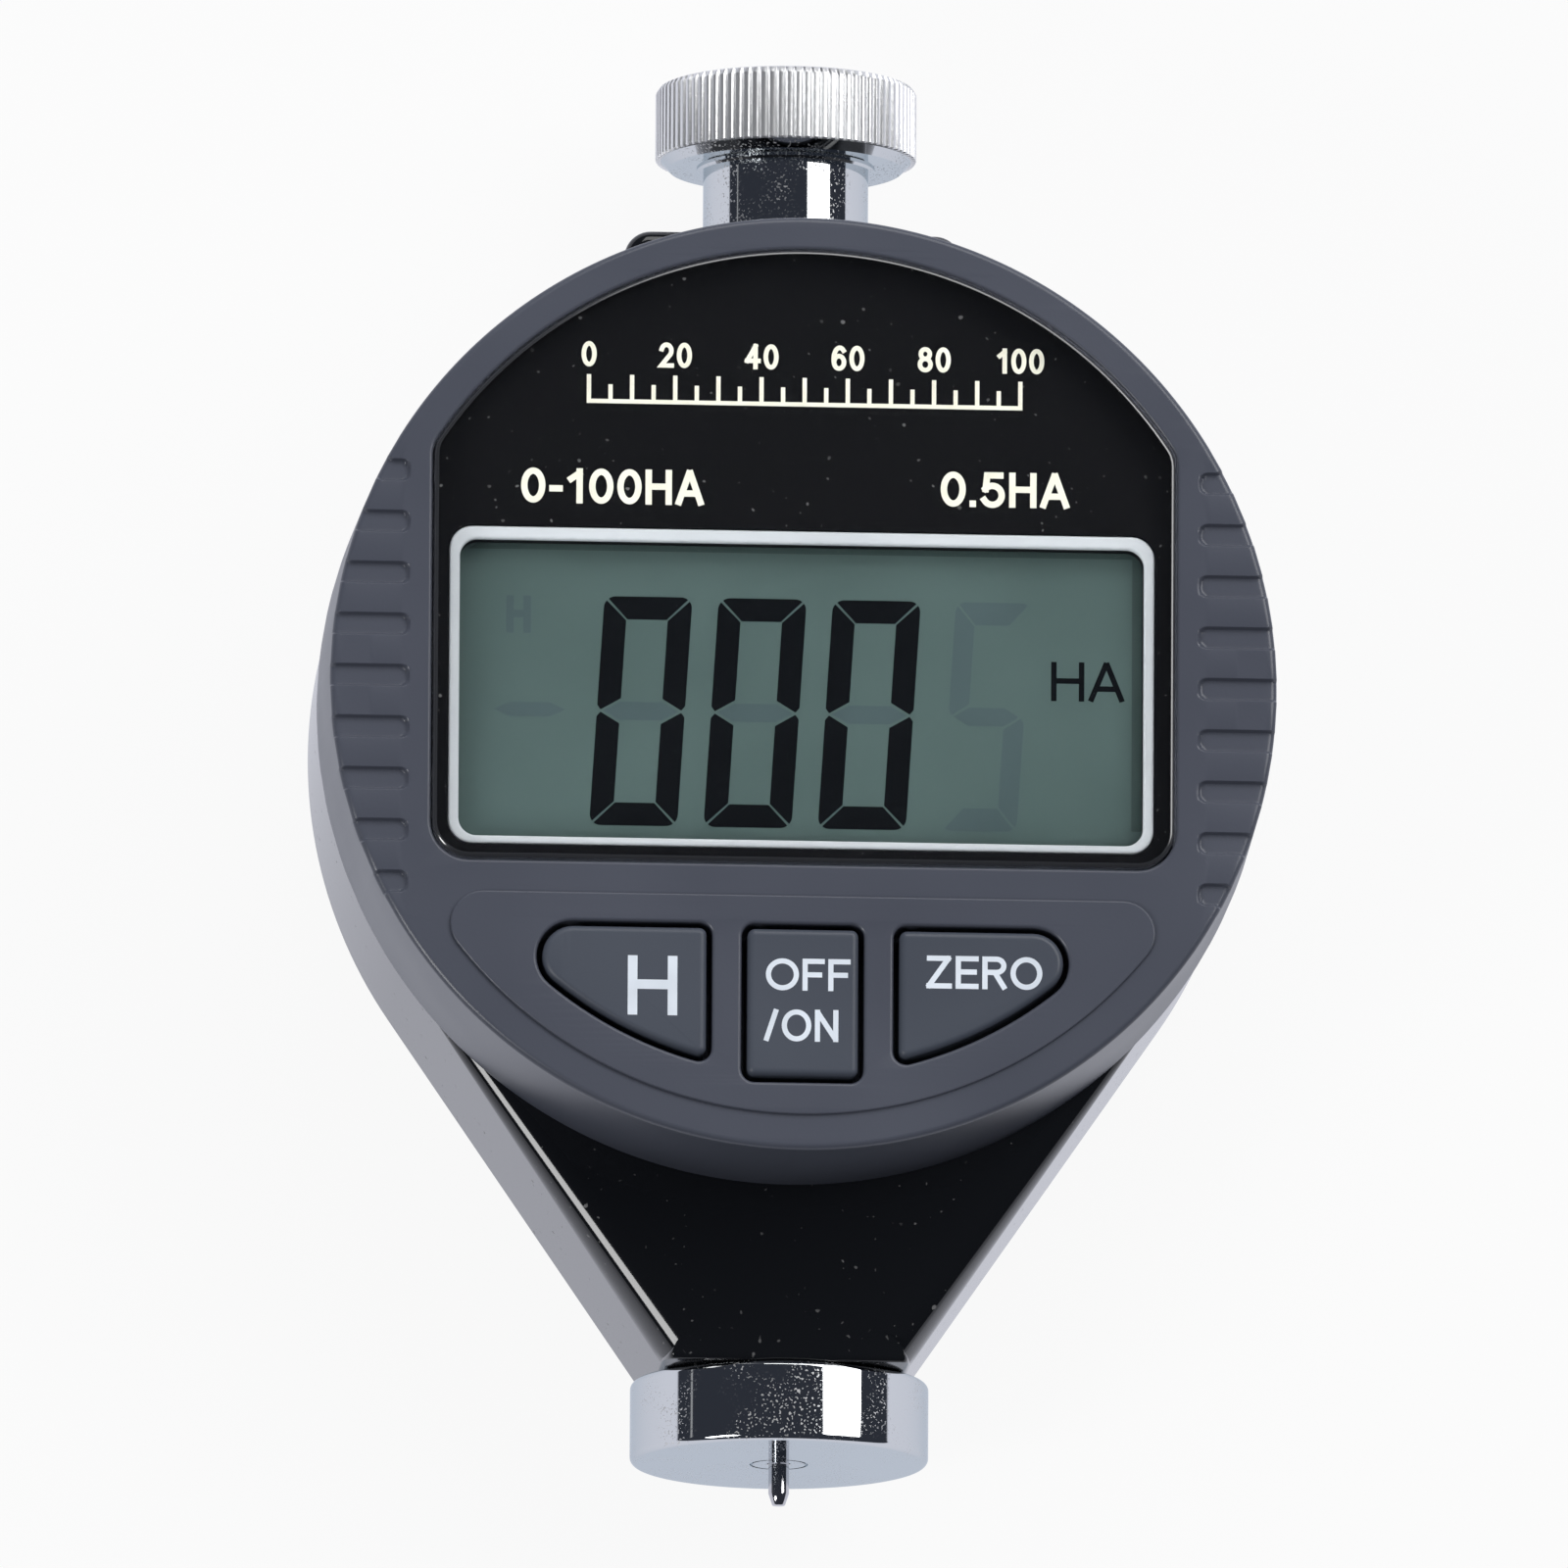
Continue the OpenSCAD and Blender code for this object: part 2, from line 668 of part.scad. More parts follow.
module front_cover() {
    color(cover_grey)
    difference() {
        union() {
            cover_shell();
            plate(key_panel(), ceiling_z, face_z + panel_raise);
            // Bosses for the screws from the deck
            posts(cover_places, screw_boss_r, part_z, ceiling_z + slice_t);
        }
        plate(lens_outline(lens_gap), mask_z, face_z + past);
        plate(round_rect(view_w + 2 * lens_gap, view_h + 2 * lens_gap, view_round + lens_gap),
            ceiling_z - past, face_z);
        middle_key(0, ceiling_z - past, face_z + past);
        for (side = [-1, 1])
            side_key_at(side, 0, ceiling_z - past, face_z + past);
        grip_grooves();
        posts(cover_places, screw_d / 2 + seat_gap, part_z - past, part_z + screw_len - deck_t + past);
    }
}

module front_cover_screws() {
    color(steel)
    for (place = cover_places)
        translate([place[0], place[1], deck_z - screw_head_t])
            screw(screw_d, screw_head_d, screw_head_t, screw_len);
}

// Window and display, from the face inwards
module display_lens() {
    color([0.12, 0.12, 0.13, 0.6])
    plate(lens_outline(0), lens_z, face_z + lens_proud);
}

module display_mask() {
    color([0.03, 0.03, 0.03])
    difference() {
        plate(lens_outline(0), mask_z, lens_z);
        plate(round_rect(view_w + lens_gap, view_h + lens_gap, view_round), mask_z - past, lens_z + past);
    }
}

module lcd_bezel() {
    open_w = view_w - 2 * view_line;
    open_h = view_h - 2 * view_line;
    glass_w = open_w + 2 * lcd_lap + 2 * lens_gap;
    glass_h = open_h + 2 * lcd_lap + 2 * lens_gap;
    color([0.9, 0.91, 0.9])
    difference() {
        union() {
            plate(round_rect(view_w, view_h, view_round), lcd_top_z, lens_z);
            block(glass_w + 2 * bezel_wall, -glass_h / 2 - bezel_wall, glass_h / 2 + bezel_wall,
                board_top_z, bezel_top_z);
        }
        plate(round_rect(open_w, open_h, view_round - view_line / 2), board_top_z, lens_z + past);
        block(glass_w, -glass_h / 2, glass_h / 2, board_top_z - past, lcd_top_z);
    }
}

module lcd_panel() {
    lcd_w = view_w - 2 * view_line + 2 * lcd_lap;
    lcd_h = view_h - 2 * view_line + 2 * lcd_lap;
    front_w = view_w - 2 * view_line - 2 * lens_gap;
    front_h = view_h - 2 * view_line - 2 * lens_gap;
    color([0.62, 0.66, 0.6])
    union() {
        block(lcd_w, -lcd_h / 2, lcd_h / 2, lcd_z, lcd_top_z);
        plate(round_rect(front_w, front_h, view_round - view_line / 2 - lens_gap), lcd_top_z - lcd_t / 2,
            lcd_top_z + lcd_rise);
    }
}

module lcd_connector_strips() {
    lcd_h = view_h - 2 * view_line + 2 * lcd_lap;
    strip_len = view_w - 2 * view_line;
    color([0.75, 0.45, 0.5])
    for (side = [0, 1])
        mirror([0, side, 0])
            block(strip_len, lcd_h / 2 - strip_w, lcd_h / 2, board_top_z, lcd_z);
}

// Electronics
module main_board() {
    color([0.1, 0.35, 0.2])
    difference() {
        translate([0, 0, board_z])
            cylinder(r = board_r, h = board_t);
        posts(cover_places, screw_boss_r + board_gap / 3, board_z - past, board_top_z + past);
    }
}

module processor_chip() {
    color([0.08, 0.08, 0.08])
    block(chip_side, -chip_side / 2, chip_side / 2, board_top_z, board_top_z + chip_t);
}

module board_header() {
    color([0.1, 0.1, 0.12])
    block(header_w, header_y, header_y + header_d, deck_z, board_z);
}

// Keys and the rubber mat under them
module keypad_mat() {
    mat_t = 0.6;
    pillar_r = 1.8;
    pillar_top_z = key_flange_z - key_travel - 2 * face_gap;
    mat_reach = 10.4;
    pillar_out = 4.6;
    side_pillar_drop = 3.6;
    middle_pillar_drop = 4.8;
    mat_half = middle_key_half + key_rib + mat_reach;
    side_x = middle_key_half + key_rib + pillar_out;
    side_y = -key_drop - side_pillar_drop;
    middle_y = -key_drop - middle_pillar_drop;
    color([0.6, 0.6, 0.62])
    union() {
        intersection() {
            translate([0, 0, board_top_z])
                cylinder(r = key_arc_r, h = mat_t);
            block(2 * mat_half, -key_arc_r, -key_drop, board_top_z - past, board_top_z + past);
        }
        posts([[-side_x, side_y], [0, middle_y], [side_x, side_y]], pillar_r, board_top_z, pillar_top_z);
    }
}

module hold_button() {
    color([0.2, 0.22, 0.26])
    union() {
        side_key_at(-1, -key_gap, key_flange_z, key_top_z);
        side_key_at(-1, key_flange, key_flange_z, bezel_top_z);
    }
}

module power_button() {
    color([0.2, 0.22, 0.26])
    union() {
        middle_key(-key_gap, key_flange_z, key_top_z);
        middle_key(key_flange, key_flange_z, bezel_top_z);
    }
}

module zero_button() {
    color([0.2, 0.22, 0.26])
    union() {
        side_key_at(1, -key_gap, key_flange_z, key_top_z);
        side_key_at(1, key_flange, key_flange_z, bezel_top_z);
    }
}

// Presser foot: a turned disc with a spigot, bored for the spindle and the needle
module presser_foot() {
    r = foot_d / 2;
    bore_room = 1;
    bore_r = spindle_d / 2 + bore_room;
    low_edge = arc([r - foot_edge, foot_y + foot_edge], foot_edge, -90, 0, corner_steps);
    high_edge = arc([r - foot_edge, foot_top_y - foot_edge], foot_edge, 0, 90, corner_steps);
    color(chrome)
    along_spindle()
        rotate_extrude()
            polygon(concat(
                [[foot_hole_d / 2, foot_y]],
                low_edge,
                high_edge,
                [[spigot_d / 2, foot_top_y], [spigot_d / 2, spigot_y], [bore_r, spigot_y],
                    [bore_r, foot_y + foot_face_t], [foot_hole_d / 2, foot_y + foot_face_t]]
            ));
}

module foot_set_screw() {
    sunk = 0.4;
    slot_depth = 0.5;
    screw_z = back_z + sunk;
    color(steel)
    translate([0, foot_top_y + spigot_len / 2, screw_z])
        difference() {
            cylinder(d = screw_d, h = axis_z - spigot_d / 2 - screw_z);
            translate([-screw_d, -screw_d / 8, -past])
                cube([2 * screw_d, screw_d / 4, past + slot_depth]);
        }
}

// Indenter needle: a straight pin with a flat-topped cone for a tip
module indenter_needle() {
    cone = (needle_d - tip_d) / 2 / tan(tip_angle / 2);
    color(steel)
    along_spindle()
        rotate_extrude()
            polygon([
                [0, tip_y], [tip_d / 2, tip_y], [needle_d / 2, tip_y + cone],
                [needle_d / 2, spindle_y + needle_hold], [0, spindle_y + needle_hold]
            ]);
}

module spindle() {
    color(steel)
    difference() {
        rod(spindle_d, spindle_y, spindle_top_y);
        rod(needle_d + 2 * seat_gap, spindle_y - past, spindle_y + needle_hold);
    }
}

module stop_collar() {
    color([0.78, 0.65, 0.35])
    difference() {
        rod(collar_d, collar_y, spring_y);
        rod(spindle_d + 2 * seat_gap, collar_y - past, spring_y + past);
    }
}

// Measuring spring: a round wire along a helix, with flat-lying ends
module main_spring() {
    rings_per_turn = 14;
    sides = 8;
    rings = spring_turns * rings_per_turn;
    wire_r = wire_d / 2;
    coil_r = spring_d / 2 - wire_r;
    run = spring_len - wire_d - 2 * face_gap;
    points = [
        for (i = [0:rings], k = [0:sides - 1])
            let (turn = 360 * i / rings_per_turn, a = 360 * k / sides)
            let (r = coil_r + wire_r * cos(a))
            [r * cos(turn), r * sin(turn), run * i / rings + wire_r * sin(a)]
    ];
    walls = [
        for (i = [0:rings - 1], k = [0:sides - 1])
            let (next = (k + 1) % sides)
            [i * sides + k, (i + 1) * sides + k, (i + 1) * sides + next, i * sides + next]
    ];
    ends = [
        [for (k = [0:sides - 1]) k],
        [for (k = [sides - 1:-1:0]) rings * sides + k]
    ];
    color(steel)
    along_spindle()
        translate([0, 0, spring_y + wire_r + face_gap])
            polyhedron(points, concat(walls, ends));
}

module lower_bush() {
    color([0.8, 0.6, 0.3])
    difference() {
        rod(bush_d, spigot_y, lower_bush_y);
        rod(spindle_d + 2 * running_gap, spigot_y - past, lower_bush_y + past);
    }
}

module upper_bush() {
    color([0.8, 0.6, 0.3])
    difference() {
        union() {
            rod(bush_flange_d, bush_flange_y, bridge_y);
            rod(bush_d, bush_flange_y, bridge_top_y);
        }
        rod(spindle_d + 2 * running_gap, bush_flange_y - past, bridge_top_y + past);
    }
}

// Position sensor: a slider that moves with the spindle under a fixed stator
module slider_carrier() {
    wall = 2;
    color([0.7, 0.7, 0.72])
    difference() {
        block(carrier_w, carrier_y, carrier_y + carrier_len, axis_z - spindle_d / 2 - wall, slider_z);
        rod(spindle_d + 2 * seat_gap, carrier_y - past, carrier_y + carrier_len + past);
        translate([0, carrier_y + carrier_len / 2, axis_z])
            rotate([0, 90, 0])
                cylinder(d = screw_d + 2 * seat_gap, h = carrier_w);
    }
}

module carrier_set_screw() {
    slot_depth = 0.5;
    start = spindle_d / 2 + face_gap;
    color(steel)
    translate([start, carrier_y + carrier_len / 2, axis_z])
        rotate([0, 90, 0])
            difference() {
                cylinder(d = screw_d, h = carrier_w / 2 - start);
                translate([-screw_d, -screw_d / 8, carrier_w / 2 - start - slot_depth])
                    cube([2 * screw_d, screw_d / 4, past]);
            }
}

module sensor_slider() {
    color([0.55, 0.45, 0.2])
    block(carrier_w, slider_y, slider_y + slider_len, slider_z, slider_z + slider_t);
}

module sensor_stator() {
    color([0.1, 0.35, 0.2])
    difference() {
        block(stator_w, stator_y, stator_y + stator_len, stator_z, deck_z);
        posts(stator_places, stator_screw_d / 2 + seat_gap, stator_z - past, deck_z + past);
    }
}

module stator_screws() {
    color(steel)
    for (place = stator_places)
        translate([place[0], place[1], stator_z - stator_head_t])
            screw(stator_screw_d, 2 * stator_screw_d, stator_head_t, stator_t + deck_t / 2 - face_gap);
}

// Battery: a cell in the rear cover's cup, behind a cap with a coin slot
module battery_cap() {
    head_r = cup_r + cap_rim;
    neck_r = cup_r - cap_fit;
    lug_z = cap_neck_z + cap_neck_t - lug_t;
    slot_w = 1.6;
    slot_depth = 0.8;
    slot_margin = 2;
    lug_w = 4;
    color([0.12, 0.12, 0.13])
    translate([cell_at[0], cell_at[1], 0])
        difference() {
            union() {
                translate([0, 0, cap_head_z])
                    cylinder(r = head_r, h = cap_t);
                translate([0, 0, cap_neck_z])
                    cylinder(r = neck_r, h = cap_neck_t);
                // Two lugs that turn in the cup's ring groove
                intersection() {
                    translate([0, 0, lug_z])
                        cylinder(r = cup_r + lug_reach, h = lug_t);
                    translate([-lug_w / 2, -head_r, lug_z - past])
                        cube([lug_w, 2 * head_r, lug_t + 2 * past]);
                }
            }
            translate([-head_r + slot_margin, -slot_w / 2, cap_head_z - past])
                cube([2 * (head_r - slot_margin), slot_w, slot_depth + past]);
            // Groove for the seal
            translate([0, 0, cap_neck_z])
                rotate_extrude()
                    translate([neck_r - seal_groove, 0])
                        square([seal_groove + past, seal_groove_h]);
        }
}

module battery_cap_seal() {
    seal_r = cup_r - cap_fit - seal_groove + face_gap;
    color([0.15, 0.15, 0.15])
    translate([cell_at[0], cell_at[1], cap_neck_z + face_gap])
        rotate_extrude()
            translate([seal_r, 0])
                square([seal_groove, seal_h]);
}

module button_cell() {
    crimp = 0.5;
    r = cell_d / 2;
    color(steel)
    translate([cell_at[0], cell_at[1], cell_z])
        rotate_extrude()
            polygon([
                [0, 0], [r - 2 * crimp, 0], [r - crimp, crimp], [r, 2 * crimp], [r, cell_t], [0, cell_t]
            ]);
}

// Where the two contact leaves stand: behind the cell, and beside it in the cup
function contact_places() = [
    cell_at + [0, cup_out_r + cell_gap],
    cell_at + [0, -cell_d / 2 - face_gap - leaf_t]
];

module battery_contacts() {
    places = contact_places();
    leaf_top_z = cell_top_z + face_gap;
    leaf_z = [leaf_top_z, cell_z + lower_leaf_lift];
    color([0.85, 0.75, 0.45])
    union() {
        for (i = [0, 1])
            translate([places[i][0] - leaf_w / 2, places[i][1], leaf_z[i]])
                cube([leaf_w, leaf_t, board_z - leaf_z[i]]);
        // The upper leaf bends over the top of the cell
        translate([cell_at[0] - leaf_w / 2, cell_at[1] - leaf_w, leaf_top_z])
            cube([leaf_w, cup_out_r + cell_gap + leaf_w + leaf_t, leaf_t]);
    }
}

// Knob: a turned neck and stud with a knurled head
module knurl_outline() {
    r = knob_d / 2;
    polygon([
        for (i = [0:2 * knurl_count - 1])
            let (a = 180 * i / knurl_count)
            (i % 2 == 0 ? r : r - knurl_depth) * [cos(a), sin(a)]
    ]);
}

module top_knob() {
    chamfer = 0.5;
    ring_w = 0.7;
    ring_r = neck_d / 2 + ring_w;
    ring_h = 0.7;
    color(chrome)
    along_spindle()
        union() {
            translate([0, 0, stud_y])
                cylinder(d = stud_d, h = boss_top - stud_y);
            translate([0, 0, boss_top])
                cylinder(d = neck_d, h = neck_len);
            translate([0, 0, neck_top_y - ring_h])
                cylinder(r = ring_r, h = ring_h);
            intersection() {
                translate([0, 0, neck_top_y])
                    linear_extrude(knob_h)
                        knurl_outline();
                translate([0, 0, neck_top_y])
                    rotate_extrude()
                        polygon([
                            [0, 0], [knob_d / 2 - chamfer, 0], [knob_d / 2 + slice_t, chamfer],
                            [knob_d / 2 + slice_t, knob_h - chamfer],
                            [knob_d / 2 - chamfer, knob_h], [0, knob_h]
                        ]);
            }
        }
}

module knob_nut() {
    nut_top_y = boss_in_y;
    color(steel)
    along_spindle()
        translate([0, 0, nut_top_y - nut_t])
            difference() {
                cylinder(d = nut_corner_d, h = nut_t, $fn = 6);
                translate([0, 0, -past])
                    cylinder(d = stud_d + 2 * seat_gap, h = nut_t + 2 * past);
            }
}

body_housing();
rear_cover();
rear_cover_screws();
front_cover();
front_cover_screws();
display_lens();
display_mask();
lcd_bezel();
lcd_panel();
lcd_connector_strips();
main_board();
processor_chip();
board_header();
keypad_mat();
hold_button();
power_button();
zero_button();
presser_foot();
foot_set_screw();
indenter_needle();
spindle();
stop_collar();
main_spring();
lower_bush();
upper_bush();
slider_carrier();
carrier_set_screw();
sensor_slider();
sensor_stator();
stator_screws();
battery_cap();
battery_cap_seal();
button_cell();
battery_contacts();
top_knob();
knob_nut();
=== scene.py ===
"""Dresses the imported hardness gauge: skins with soft edges, printed marks, materials, light and camera."""

import json
import math

import bmesh
import bpy
import numpy as np
from bpy.props import FloatProperty, FloatVectorProperty, IntProperty, PointerProperty
from mathutils import Matrix, Vector
from mathutils.geometry import tessellate_polygon


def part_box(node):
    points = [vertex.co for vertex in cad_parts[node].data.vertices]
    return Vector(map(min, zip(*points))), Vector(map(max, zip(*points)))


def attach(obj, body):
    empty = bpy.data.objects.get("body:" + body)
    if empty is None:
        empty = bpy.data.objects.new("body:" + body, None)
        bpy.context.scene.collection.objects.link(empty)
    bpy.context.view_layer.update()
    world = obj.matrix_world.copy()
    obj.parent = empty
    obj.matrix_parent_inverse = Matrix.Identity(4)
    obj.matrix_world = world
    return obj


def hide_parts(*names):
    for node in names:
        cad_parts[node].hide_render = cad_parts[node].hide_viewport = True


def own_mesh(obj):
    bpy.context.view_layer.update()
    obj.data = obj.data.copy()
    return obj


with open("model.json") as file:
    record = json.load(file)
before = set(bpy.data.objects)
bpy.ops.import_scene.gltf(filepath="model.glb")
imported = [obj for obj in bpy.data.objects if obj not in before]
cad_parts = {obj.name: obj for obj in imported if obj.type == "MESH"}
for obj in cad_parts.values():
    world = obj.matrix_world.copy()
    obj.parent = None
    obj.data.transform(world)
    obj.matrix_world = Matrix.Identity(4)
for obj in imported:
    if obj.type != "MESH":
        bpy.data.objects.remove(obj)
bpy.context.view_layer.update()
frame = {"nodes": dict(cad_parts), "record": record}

bl_info = {
    "name": "Hardness gauge",
    "version": (1, 0, 0),
    "blender": (4, 5, 0),
    "location": "View3D > Sidebar > Gauge",
    "description": "Builds the visible skins, prints and materials of a digital hardness gauge",
    "category": "Object",
}

MM = 0.001
FINISH_SUFFIX = "_finish"

# Points this near become one, and edges this short are dropped, in metres
MERGE_WITHIN = 2e-6
NO_LENGTH = 1e-7

# Levels and widths that the frame already fixes
COVER_LOW, COVER_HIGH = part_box("front_cover")
BODY_LOW, BODY_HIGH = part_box("body_housing")
LENS_LOW, LENS_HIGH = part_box("display_lens")
MASK_LOW, MASK_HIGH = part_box("display_mask")
BEZEL_LOW, BEZEL_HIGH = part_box("lcd_bezel")
LCD_LOW, LCD_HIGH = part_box("lcd_panel")
FOOT_LOW, FOOT_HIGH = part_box("presser_foot")
NEEDLE_LOW, NEEDLE_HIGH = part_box("indenter_needle")
KNOB_LOW, KNOB_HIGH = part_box("top_knob")
SPRING_LOW, SPRING_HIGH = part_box("main_spring")
KEY_LOW, KEY_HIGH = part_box("power_button")
AXIS_Z = (FOOT_LOW.z + FOOT_HIGH.z) / 2
PART_Z = COVER_LOW.z
FOOT_H = 4.9 * MM
FOOT_TOP_Y = FOOT_LOW.y + FOOT_H

# The view cut out of the mask, and the level of the frame's flange behind it
VIEW_W = 42.48 * MM
VIEW_H = 19.4 * MM
VIEW_ROUND = 1.4 * MM
VIEW_AT = np.array([-0.09, -0.27]) * MM
FLANGE_Z = 25.75 * MM

# The grooved grid's plain rows, as a share of the pitch, and its plain strip beyond the grooves' inner ends
GROOVE_END = 0.15
GROOVE_MARGIN = 0.5 * MM

# Steps of a round corner, of a window's long arc and of half the cover's rim
CORNER_STEPS = 10
ARC_STEPS = 72
RIM_STEPS = 96

# Hairline heights that keep prints clear of what they lie on
GLASS_HAIR = 0.004 * MM
MASK_HAIR = 0.002 * MM
LABEL_T = 0.01 * MM

# Swing of the grain's tone around one, and of the roughness with it
TONE_LOW, TONE_HIGH = 0.93, 1.07
ROUGH_SWING = 0.15

# What reflections see of the floor, and the share of the floor that glows to the eye
FLOOR_MIRRORED = (0.76, 0.775, 0.86, 1)
GLOW_SHARE = 0.92

# Lamps: place, width and height in metres, and power in watts
LAMPS = {
    "window_light": ((0.18, 0.72, 0.62), (0.8, 0.5), 3.9),
    "right_softbox": ((0.385, 0.18, 0.425), (0.36, 0.33), 1.4),
    "left_strip": ((-0.62, 0.12, 0.18), (0.3, 0.02), 0.006),
    "left_front_lamp": ((-0.58, -0.34, 0.50), (0.20, 0.36), 2.6),
}
LAMPS_AIM = Vector((0, 0, 15 * MM))


def length(name, description, mm):
    """A length property with its default given in millimetres."""
    return FloatProperty(name=name, description=description, default=mm * MM, unit="LENGTH", precision=5)


def colour(name, description, red, green, blue):
    """A colour property with its default given in linear light."""
    return FloatVectorProperty(
        name=name, description=description, default=(red, green, blue), subtype="COLOR", min=0, max=1
    )


class CoverSizes(bpy.types.PropertyGroup):
    """Sizes of the front cover, its grooves, its window and its keys."""

    dial_r: length("Dial radius", "Radius of the cover at its face", 28.5)
    wall: length("Wall", "Side wall of the cover", 2.0)
    face_z: length("Face", "Height of the cover's face", 29.0)
    ceiling_z: length("Ceiling", "Height of the face's inner side", 25.8)
    edge: length("Edge", "Rounding of the cover's front edge", 0.4)
    opening_edge: length("Opening edge", "Rounding of the openings' edges", 0.22)
    groove_pitch: length("Groove pitch", "Distance from one groove to the next", 3.14)
    groove_w: length("Groove width", "Width of a groove", 1.25)
    groove_depth: length("Groove depth", "Depth of a groove", 0.3)
    groove_start: length("Groove start", "Distance of the grooves' inner ends from the middle", 23.8)
    groove_slope: length("Groove slope", "Width of a groove's sloping edge", 0.09)
    groove_round: length("Groove corner", "Rounding of a groove's inner corners", 0.5)
    groove_run: FloatProperty(
        name="Groove run-out", description="Depth of a groove's lower edge as a share of its upper one",
        default=0.8, min=0, max=1,
    )
    groove_rows: IntProperty(name="Groove rows", description="Grooves on each side", default=9, min=1)
    lens_half: length("Lens half width", "Half the width of the lens", 22.3)
    lens_arc_r: length("Lens arc", "Radius of the lens's upper arc", 26.4)
    lens_drop: length("Lens drop", "Lower edge of the lens below the middle", 11.0)
    lens_upper_round: length("Lens upper corner", "Rounding of the lens's upper corners", 2.0)
    lens_lower_round: length("Lens lower corner", "Rounding of the lens's lower corners", 2.2)
    lens_gap: length("Lens gap", "Gap around the lens", 0.12)
    lens_bevel: length("Lens bevel", "Bevel of the lens's front edge", 0.26)
    panel_drop: length("Panel drop", "Upper edge of the raised panel below the middle", 13.05)
    panel_round: length("Panel corner", "Rounding of the raised panel's corners", 2.0)
    panel_edge: length("Panel edge", "Rounding of the raised panel's edge", 0.12)
    key_drop: length("Key drop", "Upper edge of the keys below the middle", 14.8)
    key_arc_r: length("Key arc", "Radius of the side keys' lower arc", 24.1)
    key_half: length("Middle key half", "Half the width of the middle key opening", 3.68)
    key_bottom: length("Middle key bottom", "Lower edge of the middle key opening", 24.45)
    key_rib: length("Key rib", "Width of the panel between two keys", 1.77)
    key_round: length("Key corner", "Rounding of the small key corners", 0.8)
    key_outer_round: length("Key outer corner", "Rounding of the side keys' outer corner", 2.2)
    key_gap: length("Key gap", "Gap around a key", 0.35)
    key_edge: length("Key edge", "Rounding of a key's upper edge", 0.4)
    key_flange: length("Key flange", "Width of a key's flange", 0.55)
    key_flange_t: length("Key flange thickness", "Thickness of a key's flange", 0.85)


class BodySizes(bpy.types.PropertyGroup):
    """Sizes of the black body."""

    round_r: length("Body radius", "Radius of the round part", 28.3)
    end_half: length("End half width", "Half the width of the end at the foot", 7.3)
    end_corner: length("End corner", "Corner rounding of the end at the foot", 0.8)
    front_edge: length("Front edge", "Rounding of the front edge at the top", 0.8)
    front_edge_end: length("Front edge near the foot", "Height of the front edge's rounding near the foot", 1.1)
    front_wide_end: length("Crown near the foot", "Width of the front edge's rounding near the foot", 2.3)
    front_low_end: length("End edge", "Rounding of the front edge over the foot", 0.4)
    lean: length("Lean", "How far the side walls lean in near the foot", 0.55)
    lean_angle: FloatProperty(
        name="Lean angle", description="Tilt of the side walls where the front edge starts",
        default=math.radians(22), unit="ROTATION",
    )
    back_edge: length("Back edge", "Rounding of the back edge", 0.8)
    cavity_r: length("Cavity radius", "Radius of the inner space", 25.0)
    seat_r: length("Seat radius", "Radius of the rear cover's seat", 26.7)
    seat_z: length("Seat height", "Height of the rear cover's seat", 2.2)
    deck_z: length("Deck", "Height of the deck's lower side", 16.2)
    boss_half: length("Boss half width", "Half the width of the flat boss", 10.2)
    boss_wall: length("Boss wall", "Thickness of the flat boss", 4.8)
    boss_rise: length("Boss rise", "How far the flat boss stands up around the neck", 0.5)
    boss_round: length("Boss corner", "Corner rounding of the flat boss", 1.6)


class TurnedSizes(bpy.types.PropertyGroup):
    """Sizes of the turned and knurled pieces."""

    foot_edge: length("Foot edge", "Edge rounding of the presser foot", 0.4)
    foot_hole_r: length("Foot hole", "Radius of the hole that the indenter runs in", 0.72)
    foot_ring_r: length("Foot ring", "Inner radius of the fine groove around the hole", 1.6)
    foot_ring_w: length("Foot ring width", "Width and depth of the fine groove", 0.16)
    foot_face_t: length("Foot face", "Thickness of the foot's face", 3.0)
    foot_bore_r: length("Foot bore", "Radius of the bore behind the face", 3.0)
    spigot_r: length("Spigot radius", "Radius of the foot's spigot", 5.0)
    foot_h: length("Foot height", "Height of the presser foot", FOOT_H / MM)
    hole_bevel: length("Hole bevel", "Bevel of the hole that the indenter runs in", 0.08)
    tip_r: length("Tip radius", "Radius of the indenter's flat tip", 0.395)
    needle_r: length("Needle radius", "Radius of the indenter", 0.625)
    needle_cone: length("Needle cone", "Length of the indenter's cone", 0.73)
    tip_edge: length("Tip edge", "Bevel of the indenter's flat tip", 0.04)
    wire_d: length("Wire", "Diameter of the spring's wire", 0.7)
    spring_turns: IntProperty(name="Turns", description="Turns of the spring", default=7, min=3)
    slide: length("Slide", "How far the indenter slides in", 2.5)
    knob_h: length("Knob height", "Height of the knurled head", 4.5)
    knob_lip: length("Knob lip", "Smooth slope below the knurl", 0.5)
    knob_drop: length("Knob drop", "How far the polished underside stands out below the head", 0.45)
    knob_bevel: length("Knob bevel", "Bevel above the knurl", 0.4)
    knob_soft: length("Knob edge", "Softening of the neck's and the ring's edges", 0.15)
    neck_r: length("Neck radius", "Radius of the knob's neck", 5.0)
    neck_len: length("Neck length", "Length of the knob's neck", 6.3)
    ring_w: length("Ring width", "How far the ring under the head stands out", 0.4)
    ring_h: length("Ring height", "Height of the ring and the underside", 0.7)
    stud_r: length("Stud radius", "Radius of the knob's stud", 3.0)
    knurl_depth: length("Knurl depth", "Depth of the knurl", 0.17)
    knurl_flat: FloatProperty(name="Knurl flat", description="Flat share of a ridge", default=0.45, min=0, max=0.9)
    knurl_count: IntProperty(name="Ridges", description="Ridges of the knurl", default=92, min=3)


